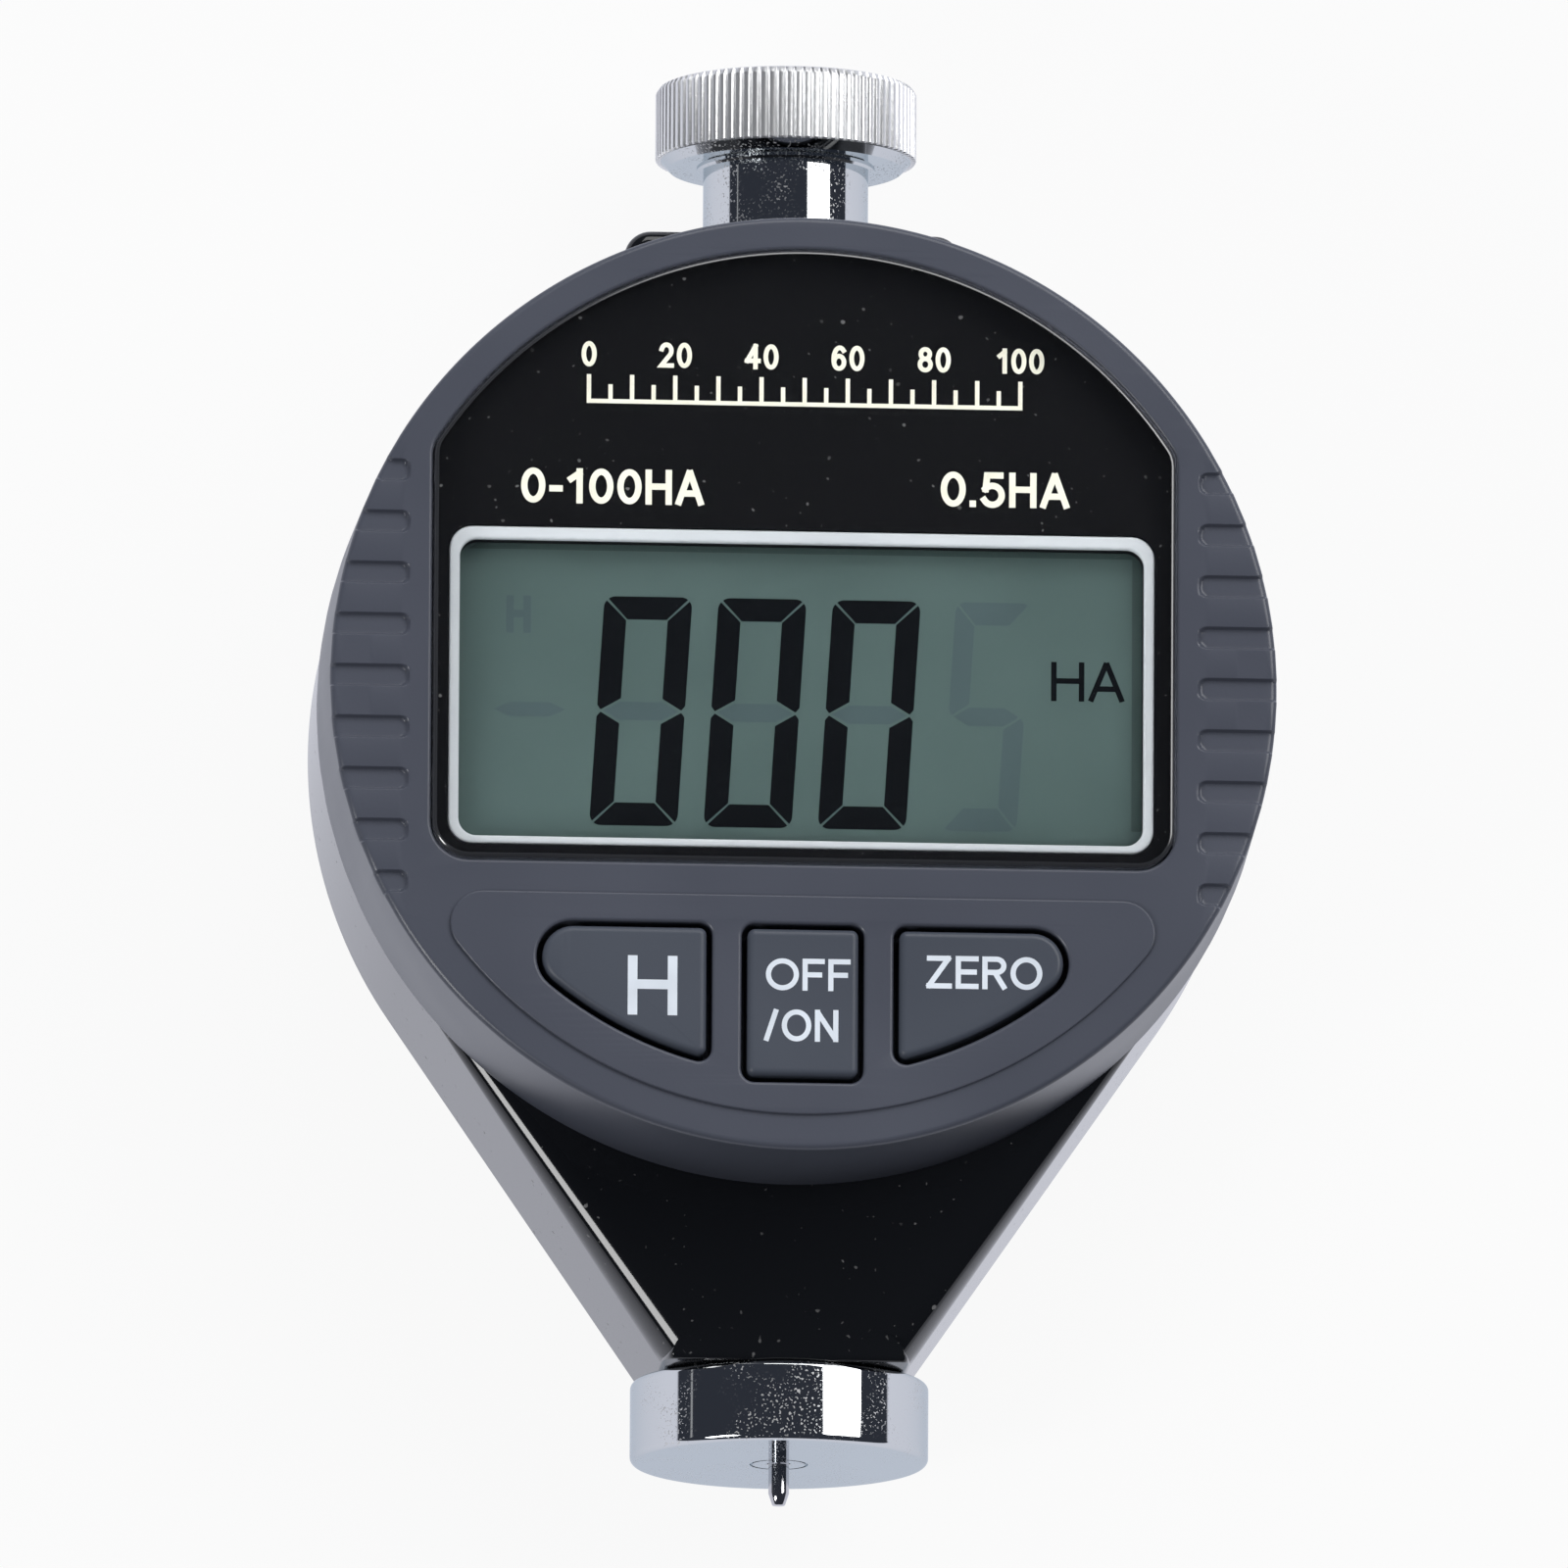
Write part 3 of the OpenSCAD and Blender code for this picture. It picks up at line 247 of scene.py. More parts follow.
class DisplaySizes(bpy.types.PropertyGroup):
    """Sizes of the display's frame, digits and printed marks."""

    frame_line: length("Frame line", "Width of the white frame at its sides", 0.64)
    frame_shift: length("Frame shift", "How much wider the frame's upper bar is and the lower one narrower", 0.15)
    # The well below the white bar is dark, partly as painted shade
    frame_t: length("Frame thickness", "Height of the white bar above its dark well", 0.42)
    glass_rise: length("Glass rise", "How far the display's front glass rises into its frame", 1.2)
    # The next two widths are of a strip of painted shade: the white frame's shadow on the glass at the top and at the
    # right
    border_top: length("Border at the top", "Width of the glass's dark border at the top", 0.36)
    border_side: length("Border at the side", "Width of the glass's dark border at the right", 0.6)
    frame_round: length("Frame corner", "Outer corner radius of the white frame", VIEW_ROUND / MM)
    frame_edge: length("Frame edge", "Rounding of the white frame's front edges", 0.18)
    mask_gap: length("Mask gap", "Gap between the white frame and the mask", 0.06)
    box_wall: length("Box wall", "Wall of the frame's box behind the mask", 0.8)
    box_round: length("Box corner", "Corner rounding of the frame's box", 0.3)
    panel_round: length("Panel corner", "Corner rounding of the display's panel", 0.2)
    digit_h: length("Digit height", "Height of a digit", 14.0)
    digit_w: length("Digit width", "Width of a digit", 5.3)
    digit_pitch: length("Digit pitch", "Distance from one digit to the next", 6.88)
    digit_x: length("First digit", "Place of the first digit's middle", -9.68)
    digit_y: length("Digit level", "Place of the digits' middle", -1.52)
    last_digit_x: length("Last digit", "Place of the resting last digit's middle", 11.12)
    minus_x: length("Minus sign", "Place of the resting minus sign's middle", -16.38)
    segment_w: length("Segment width", "Width of a segment", 1.4)
    segment_gap: length("Segment gap", "Gap between two segments", 0.14)
    print_t: length("Print thickness", "Thickness of printed marks", 0.012)
    scale_w: length("Scale width", "Width of the printed scale", 26.0)
    scale_y: length("Scale level", "Place of the printed scale's line", 17.3)
    tick_w: length("Tick width", "Width of a tick and of the scale's line", 0.26)
    tick_long: length("Long tick", "Height of the long ticks above the line", 1.5)
    tick_short: length("Short tick", "Height of the short ticks above the line", 0.9)
    scale_steps: IntProperty(name="Scale steps", description="Spaces between the scale's ticks", default=20, min=1)
    digit_slant: FloatProperty(
        name="Slant", description="Slant of the digits", default=math.radians(3.5), unit="ROTATION"
    )


class Finishes(bpy.types.PropertyGroup):
    """Colours of the finishes, in linear light."""

    cover: colour("Cover", "Blue-grey cover", 0.072, 0.079, 0.103)
    key: colour("Keys", "Dark grey keys", 0.0615, 0.0715, 0.0935)
    black: colour("Body", "Glossy black body", 0.007, 0.0078, 0.0095)
    mask: colour("Mask", "Black print behind the lens", 0.0045, 0.0046, 0.0052)
    white: colour("Frame", "White frame", 0.63, 0.66, 0.69)
    glass: colour("Display", "Grey-green display", 0.075, 0.117, 0.112)
    # A darker green painted as shade: the white frame's shadow on the display's glass
    border: colour("Display border", "Dark border of the display", 0.047, 0.074, 0.070)
    segment: colour("Digits", "Dark segments", 0.0022, 0.003, 0.004)
    ghost: colour("Resting digits", "Segments that are switched off", 0.062, 0.096, 0.101)
    cream: colour("Print", "Cream print", 0.92, 0.90, 0.76)
    label: colour("Key print", "Pale print on the keys", 0.74, 0.80, 0.87)


# Outlines: closed loops of points, counter-clockwise, grown outwards by a distance


def arc(centre_x, centre_y, r, start, end, steps=CORNER_STEPS):
    """Points centre + r (cos a, sin a), for a in equal steps between two angles in degrees."""
    a = np.radians(np.linspace(start, end, steps + 1))
    return np.stack([centre_x + r * np.cos(a), centre_y + r * np.sin(a)], axis=1)


def round_rect(w, h, r, grow=0.0):
    """A rectangle whose corners are quarter circles, with the corner centres kept as it grows."""
    x, y = w / 2 - r, h / 2 - r
    corners = ((x, y, 0), (-x, y, 90), (-x, -y, 180), (x, -y, 270))
    return np.concatenate([arc(cx, cy, r + grow, a, a + 90) for cx, cy, a in corners])


def fillet(steps=6):
    """The distances 1 - sin a and 1 - cos a along a quarter circle: one falls to nought and one rises from it."""
    a = np.linspace(0, np.pi / 2, steps + 1)
    return 1 - np.sin(a), 1 - np.cos(a)


def at_level(outline, z):
    """The points of a flat outline, all at one level."""
    return np.column_stack([outline, np.full(len(outline), z)])


def oblong(left, low, right, high):
    """The four corners of a rectangle."""
    return np.array([[left, low], [right, low], [right, high], [left, high]])


def circle(r, steps=192):
    """A full circle about the middle of the dial, without its repeated last point."""
    return arc(0, 0, r, 0, 360, steps)[:-1]


def lens_outline(s, grow=0.0):
    """An arc above, upright sides and a straight lower edge, joined by round corners."""
    low = s.lens_lower_round
    up = s.lens_upper_round
    low_x, low_y = s.lens_half - low, low - s.lens_drop
    up_x = s.lens_half - up
    up_y = math.sqrt((s.lens_arc_r - up) ** 2 - up_x**2)
    a = math.degrees(math.atan2(up_y, up_x))
    return np.concatenate(
        [
            arc(low_x, low_y, low + grow, -90, 0),
            arc(up_x, up_y, up + grow, 0, a),
            arc(0, 0, s.lens_arc_r + grow, a, 180 - a, ARC_STEPS),
            arc(-up_x, up_y, up + grow, 180 - a, 180),
            arc(-low_x, low_y, low + grow, 180, 270),
        ]
    )


def panel_outline(s, grow=0.0):
    """A straight upper edge and an arc about the dial's middle, joined by round corners."""
    y = -s.panel_drop - s.panel_round
    x = math.sqrt((s.lens_arc_r - s.panel_round) ** 2 - y**2)
    a = math.degrees(math.atan2(y, x))
    return np.concatenate(
        [
            arc(-x, y, s.panel_round + grow, 90, 180 - a),
            arc(0, 0, s.lens_arc_r + grow, 180 - a, 360 + a, ARC_STEPS),
            arc(x, y, s.panel_round + grow, a, 90),
        ]
    )


def middle_key(s, grow=0.0):
    """The middle key's opening, a rectangle with round corners."""
    h = s.key_bottom - s.key_drop
    return round_rect(2 * s.key_half, h, s.key_round, grow) + [0, -s.key_drop - h / 2]


def right_key(s, grow=0.0):
    """Upright inner edge, straight top and an arc about the dial's middle, with round corners."""
    inner = s.key_half + s.key_rib + s.key_round
    low_y = -math.sqrt((s.key_arc_r - s.key_round) ** 2 - inner**2)
    out_y = -s.key_drop - s.key_outer_round
    out_x = math.sqrt((s.key_arc_r - s.key_outer_round) ** 2 - out_y**2)
    low_a = math.degrees(math.atan2(low_y, inner))
    out_a = math.degrees(math.atan2(out_y, out_x))
    return np.concatenate(
        [
            arc(inner, low_y, s.key_round + grow, -180, low_a),
            arc(0, 0, s.key_arc_r + grow, low_a, out_a, 24),
            arc(out_x, out_y, s.key_outer_round + grow, out_a, 90, 14),
            arc(inner, -s.key_drop - s.key_round, s.key_round + grow, 90, 180),
        ]
    )


def left_key(s, grow=0.0):
    """The right key's opening mirrored, with its points in turned order."""
    return right_key(s, grow)[::-1] * [-1, 1]


class Skin:
    """Gathers grids of points and filled loops, and makes one closed mesh of them."""

    def __init__(self):
        self.points = []
        self.faces = []
        self.count = 0

    def add(self, points, faces):
        """Adds points and faces, counting the faces on from the points that are there."""
        self.points.append(points)
        self.faces.extend((np.asarray(face) + self.count).tolist() for face in faces)
        self.count += len(points)

    def grid(self, points, closed=True, flip=False):
        """Quads between the rows of an array of rows x columns x 3; closed joins the last column to the first."""
        rows, columns = points.shape[:2]
        index = np.arange(rows * columns).reshape(rows, columns)
        if closed:
            index = np.concatenate([index, index[:, :1]], axis=1)
        quads = np.stack([index[:-1, :-1], index[:-1, 1:], index[1:, 1:], index[1:, :-1]], axis=-1).reshape(-1, 4)
        self.add(points.reshape(-1, 3), quads[:, ::-1] if flip else quads)

    def rings(self, outlines, levels, flip=False):
        """A wall through closed outlines of equal point counts, each at its own level."""
        self.grid(np.stack([at_level(line, z) for line, z in zip(outlines, levels)]), flip=flip)

    def fill(self, loops, z, up=True):
        """Triangles of a flat face at level z inside the first loop and outside the others."""
        flat = [at_level(loop, z) for loop in loops]
        faces = np.array(tessellate_polygon([[Vector(p) for p in loop] for loop in flat]))
        points = np.concatenate(flat)
        a, b, c = (points[faces[:, k], :2] for k in range(3))
        area = (b - a)[:, 0] * (c - a)[:, 1] - (b - a)[:, 1] * (c - a)[:, 0]
        turned = (area > 0) != up
        faces[turned] = faces[turned][:, ::-1]
        self.add(points, faces)

    def plate(self, outline, low, high):
        """A flat plate of one outline, with sharp edges."""
        self.slab(lambda grow: outline, low, high)

    def collar(self, outer, inner, low, high):
        """A flat ring between two outlines and two levels."""
        self.rings([outer, outer], [low, high])
        self.rings([inner, inner], [low, high], flip=True)
        self.fill([outer, inner], high)
        self.fill([outer, inner], low, up=False)

    def slab(self, outline, low, high, low_edge=0.0, high_edge=0.0, steps=6):
        """A plate between two levels; outline(grow) draws back along a quarter circle at each edge."""
        fall, rise = fillet(steps)
        grows, levels = [0.0], [low]
        if low_edge:
            grows, levels = list(-low_edge * fall), list(low + low_edge * rise)
        if high_edge:
            grows += list(-high_edge * rise)
            levels += list(high - high_edge * fall)
        else:
            grows.append(0.0)
            levels.append(high)
        self.rings([outline(g) for g in grows], levels)
        self.fill([outline(grows[0])], low, up=False)
        self.fill([outline(grows[-1])], high)

    def lathe(self, radii, places, steps=160, ripple=None):
        """A profile of radius against Y turned about the spindle axis; ripple(angles) is taken off the radius."""
        a = np.linspace(0, 2 * np.pi, steps, endpoint=False)
        r = np.asarray(radii)[:, None] * np.ones(steps)
        if ripple is not None:
            r = r - ripple(a)
        y = np.asarray(places)[:, None] * np.ones(steps)
        self.grid(np.stack([r * np.sin(a), y, AXIS_Z + r * np.cos(a)], axis=-1))

    def build(self, name, slot, nodes=(), body="housing", finish="", sharp=38):
        """Puts the mesh in the scene with merged seams and soft shading, ties it to its body and hides the nodes it
        stands in for.
        The finish is the slot's own unless another is named; edges above the sharp angle in degrees stay crisp."""
        mesh = bpy.data.meshes.new(name)
        mesh.from_pydata(np.concatenate(self.points).tolist(), [], self.faces)
        shell = bmesh.new()
        shell.from_mesh(mesh)
        bmesh.ops.remove_doubles(shell, verts=shell.verts, dist=MERGE_WITHIN)
        bmesh.ops.dissolve_degenerate(shell, edges=shell.edges, dist=NO_LENGTH)
        bmesh.ops.recalc_face_normals(shell, faces=shell.faces)
        shell.to_mesh(mesh)
        shell.free()
        mesh.shade_smooth()
        mesh.set_sharp_from_angle(angle=math.radians(sharp))
        obj = bpy.data.objects.new(name, mesh)
        bpy.context.scene.collection.objects.link(obj)
        mesh.materials.append(material(finish or slot))
        smooth = obj.modifiers.new("Flat faces stay flat", "WEIGHTED_NORMAL")
        smooth.keep_sharp = True
        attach(obj, body)
        if nodes:
            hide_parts(*nodes)
        return obj


# Shared effects of the finishes


def new_group(name, inputs, outputs):
    """An empty node group with float inputs and outputs; returns it with its input and output nodes."""
    group = bpy.data.node_groups.new(name, "ShaderNodeTree")
    for label, value in inputs:
        group.interface.new_socket(label, in_out="INPUT", socket_type="NodeSocketFloat").default_value = value
    for label in outputs:
        group.interface.new_socket(label, in_out="OUTPUT", socket_type="NodeSocketFloat")
    start = group.nodes.new("NodeGroupInput")
    end = group.nodes.new("NodeGroupOutput")
    return group, start, end


def feed(tree, socket, value):
    """Links a socket to what feeds it, or sets its plain value."""
    if isinstance(value, bpy.types.NodeSocket):
        tree.links.new(value, socket)
    else:
        socket.default_value = value


def add_math(tree, operation, first, second):
    """Two values joined by a sum, a product or the greater of both."""
    node = tree.nodes.new("ShaderNodeMath")
    node.operation = operation
    feed(tree, node.inputs[0], first)
    feed(tree, node.inputs[1], second)
    return node.outputs[0]


def add_mix(tree, share, first, second):
    """A colour that goes from the first to the second with the share."""
    node = tree.nodes.new("ShaderNodeMix")
    node.data_type = "RGBA"
    sockets = {socket.identifier: socket for socket in node.inputs}
    for label, value in (("Factor_Float", share), ("A_Color", first), ("B_Color", second)):
        feed(tree, sockets[label], value)
    return next(socket for socket in node.outputs if socket.identifier == "Result_Color")


def add_blend(tree, share, first, second):
    """A shader that goes from the first to the second with the share."""
    node = tree.nodes.new("ShaderNodeMixShader")
    for socket, source in zip(node.inputs, (share, first, second)):
        tree.links.new(source, socket)
    return node.outputs["Shader"]


def add_noise(group, start, size, detail):
    """Noise on Object coordinates whose scale comes from the group's input."""
    place = group.nodes.new("ShaderNodeTexCoord")
    noise = group.nodes.new("ShaderNodeTexNoise")
    noise.inputs["Detail"].default_value = detail
    group.links.new(place.outputs["Object"], noise.inputs["Vector"])
    group.links.new(start.outputs[size], noise.inputs["Scale"])
    return noise.outputs["Fac"]


def add_range(group, source, low, high, to_low, to_high):
    """Stretches a value from one range to another, clamped."""
    stretch = group.nodes.new("ShaderNodeMapRange")
    for label, value in zip(("From Min", "From Max", "To Min", "To Max"), (low, high, to_low, to_high)):
        stretch.inputs[label].default_value = value
    group.links.new(source, stretch.inputs["Value"])
    return stretch.outputs["Result"]


def grain_group():
    """Moulded grain: a fine height and a broad tone that wanders around one."""
    group, start, end = new_group("Moulded grain", [("Fine", 5200.0), ("Broad", 60.0)], ["Height", "Tone"])
    broad = add_noise(group, start, "Broad", 2.0)
    group.links.new(add_noise(group, start, "Fine", 3.0), end.inputs["Height"])
    group.links.new(add_range(group, broad, 0.3, 0.7, TONE_LOW, TONE_HIGH), end.inputs["Tone"])


def dust_group():
    """Dust: a few small specks where two noises are both high."""
    group, start, end = new_group("Dust specks", [("Size", 2600.0), ("Spread", 300.0), ("Amount", 0.0)], ["Mask"])
    speck = add_math(group, "ADD", add_noise(group, start, "Size", 0.0), start.outputs["Amount"])
    patch = add_noise(group, start, "Spread", 1.0)
    specks = add_range(group, speck, 0.76, 0.82, 0, 1)
    patches = add_range(group, patch, 0.40, 0.58, 0, 1)
    group.links.new(add_math(group, "MULTIPLY", specks, patches), end.inputs["Mask"])


class Finish:
    """One material around a Principled shader, with the shared effects placed in it."""

    def __init__(self, name, base, roughness, metallic=0.0, specular=0.5):
        self.material = bpy.data.materials.new(name + FINISH_SUFFIX)
        self.material.use_nodes = True
        self.tree = self.material.node_tree
        self.shader = self.tree.nodes["Principled BSDF"]
        self.base = (*base, 1.0)
        self.roughness = roughness
        for label, value in (
            ("Base Color", self.base),
            ("Roughness", roughness),
            ("Metallic", metallic),
            ("Specular IOR Level", specular),
        ):
            self.shader.inputs[label].default_value = value

    def group(self, name, **values):
        """Places a shared effect, with its own values."""
        node = self.tree.nodes.new("ShaderNodeGroup")
        node.node_tree = bpy.data.node_groups[name]
        for label, value in values.items():
            node.inputs[label].default_value = value
        return node

    def drive(self, label, source):
        """Lets a value that changes over the surface feed an input of the shader."""
        self.tree.links.new(source, self.shader.inputs[label])

    def show(self, surface):
        """Takes another shader as the surface."""
        self.tree.links.new(surface, self.tree.nodes["Material Output"].inputs["Surface"])

    def grain(self, fine, depth, broad=60.0, strength=0.25):
        """Adds grain as a bump of the given depth in metres, and lets tone and roughness wander."""
        grain = self.group("Moulded grain", Fine=fine, Broad=broad)
        bump = self.tree.nodes.new("ShaderNodeBump")
        bump.inputs["Strength"].default_value = strength
        bump.inputs["Distance"].default_value = depth
        self.tree.links.new(grain.outputs["Height"], bump.inputs["Height"])
        tone = self.tree.nodes.new("ShaderNodeVectorMath")
        tone.operation = "SCALE"
        tone.inputs[0].default_value = self.base[:3]
        self.tree.links.new(grain.outputs["Tone"], tone.inputs["Scale"])
        low, high = self.roughness * (1 - ROUGH_SWING), self.roughness * (1 + ROUGH_SWING)
        self.drive("Normal", bump.outputs["Normal"])
        self.drive("Base Color", tone.outputs["Vector"])
        self.drive("Roughness", add_range(self.tree, grain.outputs["Tone"], TONE_LOW, TONE_HIGH, low, high))

    def dust(self, size, shade, rough, amount):
        """Lays pale, rougher specks over the surface."""
        mask = self.group("Dust specks", Size=size, Amount=amount).outputs["Mask"]
        self.drive("Base Color", add_mix(self.tree, mask, self.base, (shade, shade, shade, 1)))
        self.drive("Roughness", add_range(self.tree, mask, 0, 1, self.roughness, rough))


def lens_finish():
    """Clear window: polished glass for what is seen, and clear to the light that falls through it."""
    finish = Finish("lens_glass", (0.97, 0.98, 0.98), 0.01)
    finish.shader.inputs["Transmission Weight"].default_value = 1.0
    finish.shader.inputs["IOR"].default_value = 1.46
    shadow = finish.tree.nodes.new("ShaderNodeLightPath").outputs["Is Shadow Ray"]
    clear = finish.tree.nodes.new("ShaderNodeBsdfTransparent")
    finish.show(add_blend(finish.tree, shadow, finish.shader.outputs["BSDF"], clear.outputs["BSDF"]))


def material(name):
    """The finish of that name."""
    return bpy.data.materials[name + FINISH_SUFFIX]


class GAUGE_OT_finishes(bpy.types.Operator):
    """Makes every material and gives the frame's own nodes theirs"""

    bl_idname = "gauge.finishes"
    bl_label = "Finishes"

    def execute(self, context):
        c = context.scene.gauge_finishes
        grain_group()
        dust_group()
        Finish("grey_cover", c.cover, 0.32, specular=0.45).grain(5200, 0.00002)
        Finish("key_grey", c.key, 0.42, specular=0.4).grain(6000, 0.000015)
        Finish("gloss_black_body", c.black, 0.09).dust(2600, 0.16, 0.5, -0.03)
        Finish("mask_black", c.mask, 0.5, specular=0.05).dust(2400, 0.16, 0.6, -0.03)
        Finish("matte_black_cover", (0.030, 0.030, 0.032), 0.55).grain(4200, 0.00003, strength=0.4)
        Finish("frame_white", c.white, 0.4).grain(3000, 0.000005)
        Finish("lcd_grey", c.glass, 0.45, specular=0.2).grain(2600, 0.000004, broad=110)
        Finish("strip_rubber", (0.06, 0.06, 0.062), 0.8).grain(3000, 0.00003)
        Finish("board_green", (0.015, 0.10, 0.04), 0.4).grain(1500, 0.00001, broad=240)
        Finish("chip_black", (0.02, 0.02, 0.021), 0.5).grain(6000, 0.00002)
        chrome = Finish("bright_chrome", (0.72, 0.74, 0.755), 0.04, metallic=1.0)
        chrome.dust(7200, 0.75, 0.6, 0.12)
        chrome.shader.inputs["Specular Tint"].default_value = (0.76, 0.81, 0.84, 1)
        Finish("satin_chrome", (0.93, 0.935, 0.94), 0.4, metallic=1.0).grain(2600, 0.00004, strength=0.5)
        Finish("needle_steel", (0.62, 0.62, 0.64), 0.1, metallic=1.0).grain(2400, 0.000004)
        Finish("screw_steel", (0.50, 0.50, 0.52), 0.3, metallic=1.0).grain(3200, 0.000008)
        Finish("bush_brass", (0.70, 0.50, 0.22), 0.28, metallic=1.0).grain(2800, 0.000006)
        Finish("carrier_metal", (0.68, 0.68, 0.70), 0.35, metallic=1.0).grain(2600, 0.00001)
        # Finish of the painted shade strip: the display's green darkened as the frame's shadow
        Finish("display_border", c.border, 0.45, specular=0.2).grain(2600, 0.000004, broad=110)
        Finish("segment_dark", c.segment, 0.5, specular=0.05).grain(2000, 0.000002)
        Finish("segment_ghost", c.ghost, 0.45, specular=0.2).grain(2600, 0.000004, broad=110)
        Finish("cream_print", c.cream, 0.5).grain(3500, 0.000004, broad=400)
        Finish("key_print", c.label, 0.5).grain(3500, 0.000004, broad=400)
        rim = Finish("lens_rim", (0.03, 0.031, 0.034), 0.14)
        rim.grain(2400, 0.000004)
        rim.shader.inputs["IOR"].default_value = 2.0
        lens_finish()
        for row in frame["record"]["subparts"]:
            mesh = frame["nodes"][row["node"]].data
            mesh.materials.clear()
            mesh.materials.append(material(row["material_slot"]))
        return {"FINISHED"}


class GAUGE_OT_front_cover(bpy.types.Operator):
    """Builds the front cover with its grip grooves, raised key panel and openings"""

    bl_idname = "gauge.front_cover"
    bl_label = "Front cover"

    def execute(self, context):
        s = context.scene.gauge_cover
        skin = Skin()
        flat_r = s.dial_r - s.edge
        side_y = (s.groove_rows / 2 + GROOVE_END) * s.groove_pitch
        side_x = s.groove_start - GROOVE_MARGIN
        rim_angle = math.degrees(math.asin(side_y / flat_r))
        rim_r, rim_z = self.rim(s)
        for side in (1, -1):
            self.grooved_side(skin, s, side, side_x, side_y, rim_r, rim_z)
        for start in (rim_angle, 180 + rim_angle):
            turn = arc(0, 0, 1, start, start + 180 - 2 * rim_angle, RIM_STEPS)
            rows = [at_level(r * turn, z) for r, z in zip(rim_r, rim_z)]
            skin.grid(np.stack(rows), closed=False, flip=True)
        self.face(skin, s, rim_angle)
        self.inside(skin, s, rim_angle)
        skin.build("front_cover_skin", "grey_cover", ["front_cover"])
        return {"FINISHED"}

    def rim(self, s):
        """Radius and level from the flat face over a quarter circle and down the sloping side wall."""
        fall, rise = fillet(7)
        r = s.dial_r - s.edge * fall
        z = s.face_z - s.edge * rise
        wall_z = np.linspace(z[-1], PART_Z, 8)[1:]
        wall_r = s.dial_r + (COVER_HIGH.x - s.dial_r) * (z[-1] - wall_z) / (z[-1] - PART_Z)
        return np.concatenate([r, wall_r]), np.concatenate([z, wall_z])

    def grooved_side(self, skin, s, side, side_x, side_y, rim_r, rim_z):
        """Rows along Y and columns outwards over the rim. A point lies lower by the groove's depth times a smooth
        step of its distance inside the nearest groove, a strip with round inner corners, and times a ramp across
        the strip, so that the groove is deep at its upper edge and runs out at its lower one."""
        half = s.groove_w / 2
        near = np.array([-1.0, -0.9, -0.6, -0.3, 0.0, 0.3, 0.6, 0.9, 1.0]) * s.groove_slope
        offsets = np.concatenate([-half + near, [-0.6 * half, -0.3 * half, 0, 0.3 * half, 0.6 * half], half + near])
        centres = (np.arange(s.groove_rows) - (s.groove_rows - 1) / 2) * s.groove_pitch
        y = np.unique(np.concatenate([[-side_y, side_y], (centres[:, None] + offsets).ravel()]))
        flat_r = s.dial_r - s.edge
        reach = np.sqrt(flat_r**2 - y**2)
        dense = 0.55
        t = np.concatenate([np.linspace(0, dense, 26), np.linspace(dense, 1, 8)[1:-1]])
        x_flat = side_x + (reach[:, None] - side_x) * t
        turn = np.arcsin(y / flat_r)[:, None]
        x = np.concatenate([x_flat, rim_r * np.cos(turn)], axis=1)
        yy = np.concatenate([np.repeat(y[:, None], len(t), axis=1), rim_r * np.sin(turn)], axis=1)
        level = np.concatenate([np.full(len(t), s.face_z), rim_z])
        row_y = y[:, None] * np.ones_like(x)
        nearest = centres[np.abs(row_y[..., None] - centres).argmin(axis=-1)]
        past_end = s.groove_start + s.groove_round - x
        past_side = np.abs(row_y - nearest) - (half - s.groove_round)
        outside = np.hypot(np.maximum(past_end, 0), np.maximum(past_side, 0))
        outside += np.minimum(np.maximum(past_end, past_side), 0)
        step = np.clip((s.groove_round - outside) / s.groove_slope * 0.5 + 0.5, 0, 1)
        ramp = np.clip((row_y - nearest) / s.groove_w + 0.5, 0, 1)
        depth = s.groove_depth * step**2 * (3 - 2 * step) * (s.groove_run + (1 - s.groove_run) * ramp)
        wall = level < s.face_z - s.edge - 1e-9
        z = level - np.where(wall, 0, depth)
        z = np.where(wall, np.minimum(z, s.face_z - s.edge - depth), z)
        points = np.stack([side * x, yy, z], axis=-1)
        skin.grid(points, closed=False, flip=side > 0)
        self.side_edge = np.column_stack([np.full(len(y), side_x), y])
        self.side_end = np.column_stack([x_flat[-1], np.full(len(t), side_y)])
        self.side_foot = np.column_stack([x[:, -1], yy[:, -1]])

    def face(self, skin, s, rim_angle):
        """The flat face between the rim, the grooved sides and the openings, with every opening's edge rounded."""
        flat_r = s.dial_r - s.edge
        top = arc(0, 0, flat_r, rim_angle, 180 - rim_angle, RIM_STEPS)
        bottom = arc(0, 0, flat_r, 180 + rim_angle, 360 - rim_angle, RIM_STEPS)
        right = np.concatenate([self.side_end[::-1] * [1, -1], self.side_edge[1:-1], self.side_end])
        left = right[::-1] * [-1, 1]
        outer = np.concatenate([top, left, bottom, right])
        recess = s.lens_gap
        e = s.opening_edge
        skin.fill([outer, lens_outline(s, recess + e), panel_outline(s)], s.face_z)
        fall, rise = fillet(5)
        draws = [*(recess + e * fall), recess]
        levels = [*(s.face_z - e * rise), MASK_LOW.z]
        skin.rings([lens_outline(s, g) for g in draws], levels, flip=True)
        window = self.window(s)
        skin.fill([lens_outline(s, recess), window], MASK_LOW.z)
        skin.rings([window, window], [MASK_LOW.z, s.ceiling_z], flip=True)
        edge = s.panel_edge
        top_z = COVER_HIGH.z
        draws = [0.0, *(-edge * rise)]
        levels = [s.face_z, *(top_z - edge * fall)]
        skin.rings([panel_outline(s, g) for g in draws], levels)
        keys = (left_key, middle_key, right_key)
        skin.fill([panel_outline(s, -edge)] + [key(s, e) for key in keys], top_z)
        draws = [*(e * fall), 0.0]
        levels = [*(top_z - e * rise), s.ceiling_z]
        for key in keys:
            skin.rings([key(s, g) for g in draws], levels, flip=True)

    def window(self, s):
        """The opening around the display's frame."""
        return round_rect(VIEW_W, VIEW_H, VIEW_ROUND, s.lens_gap) + VIEW_AT

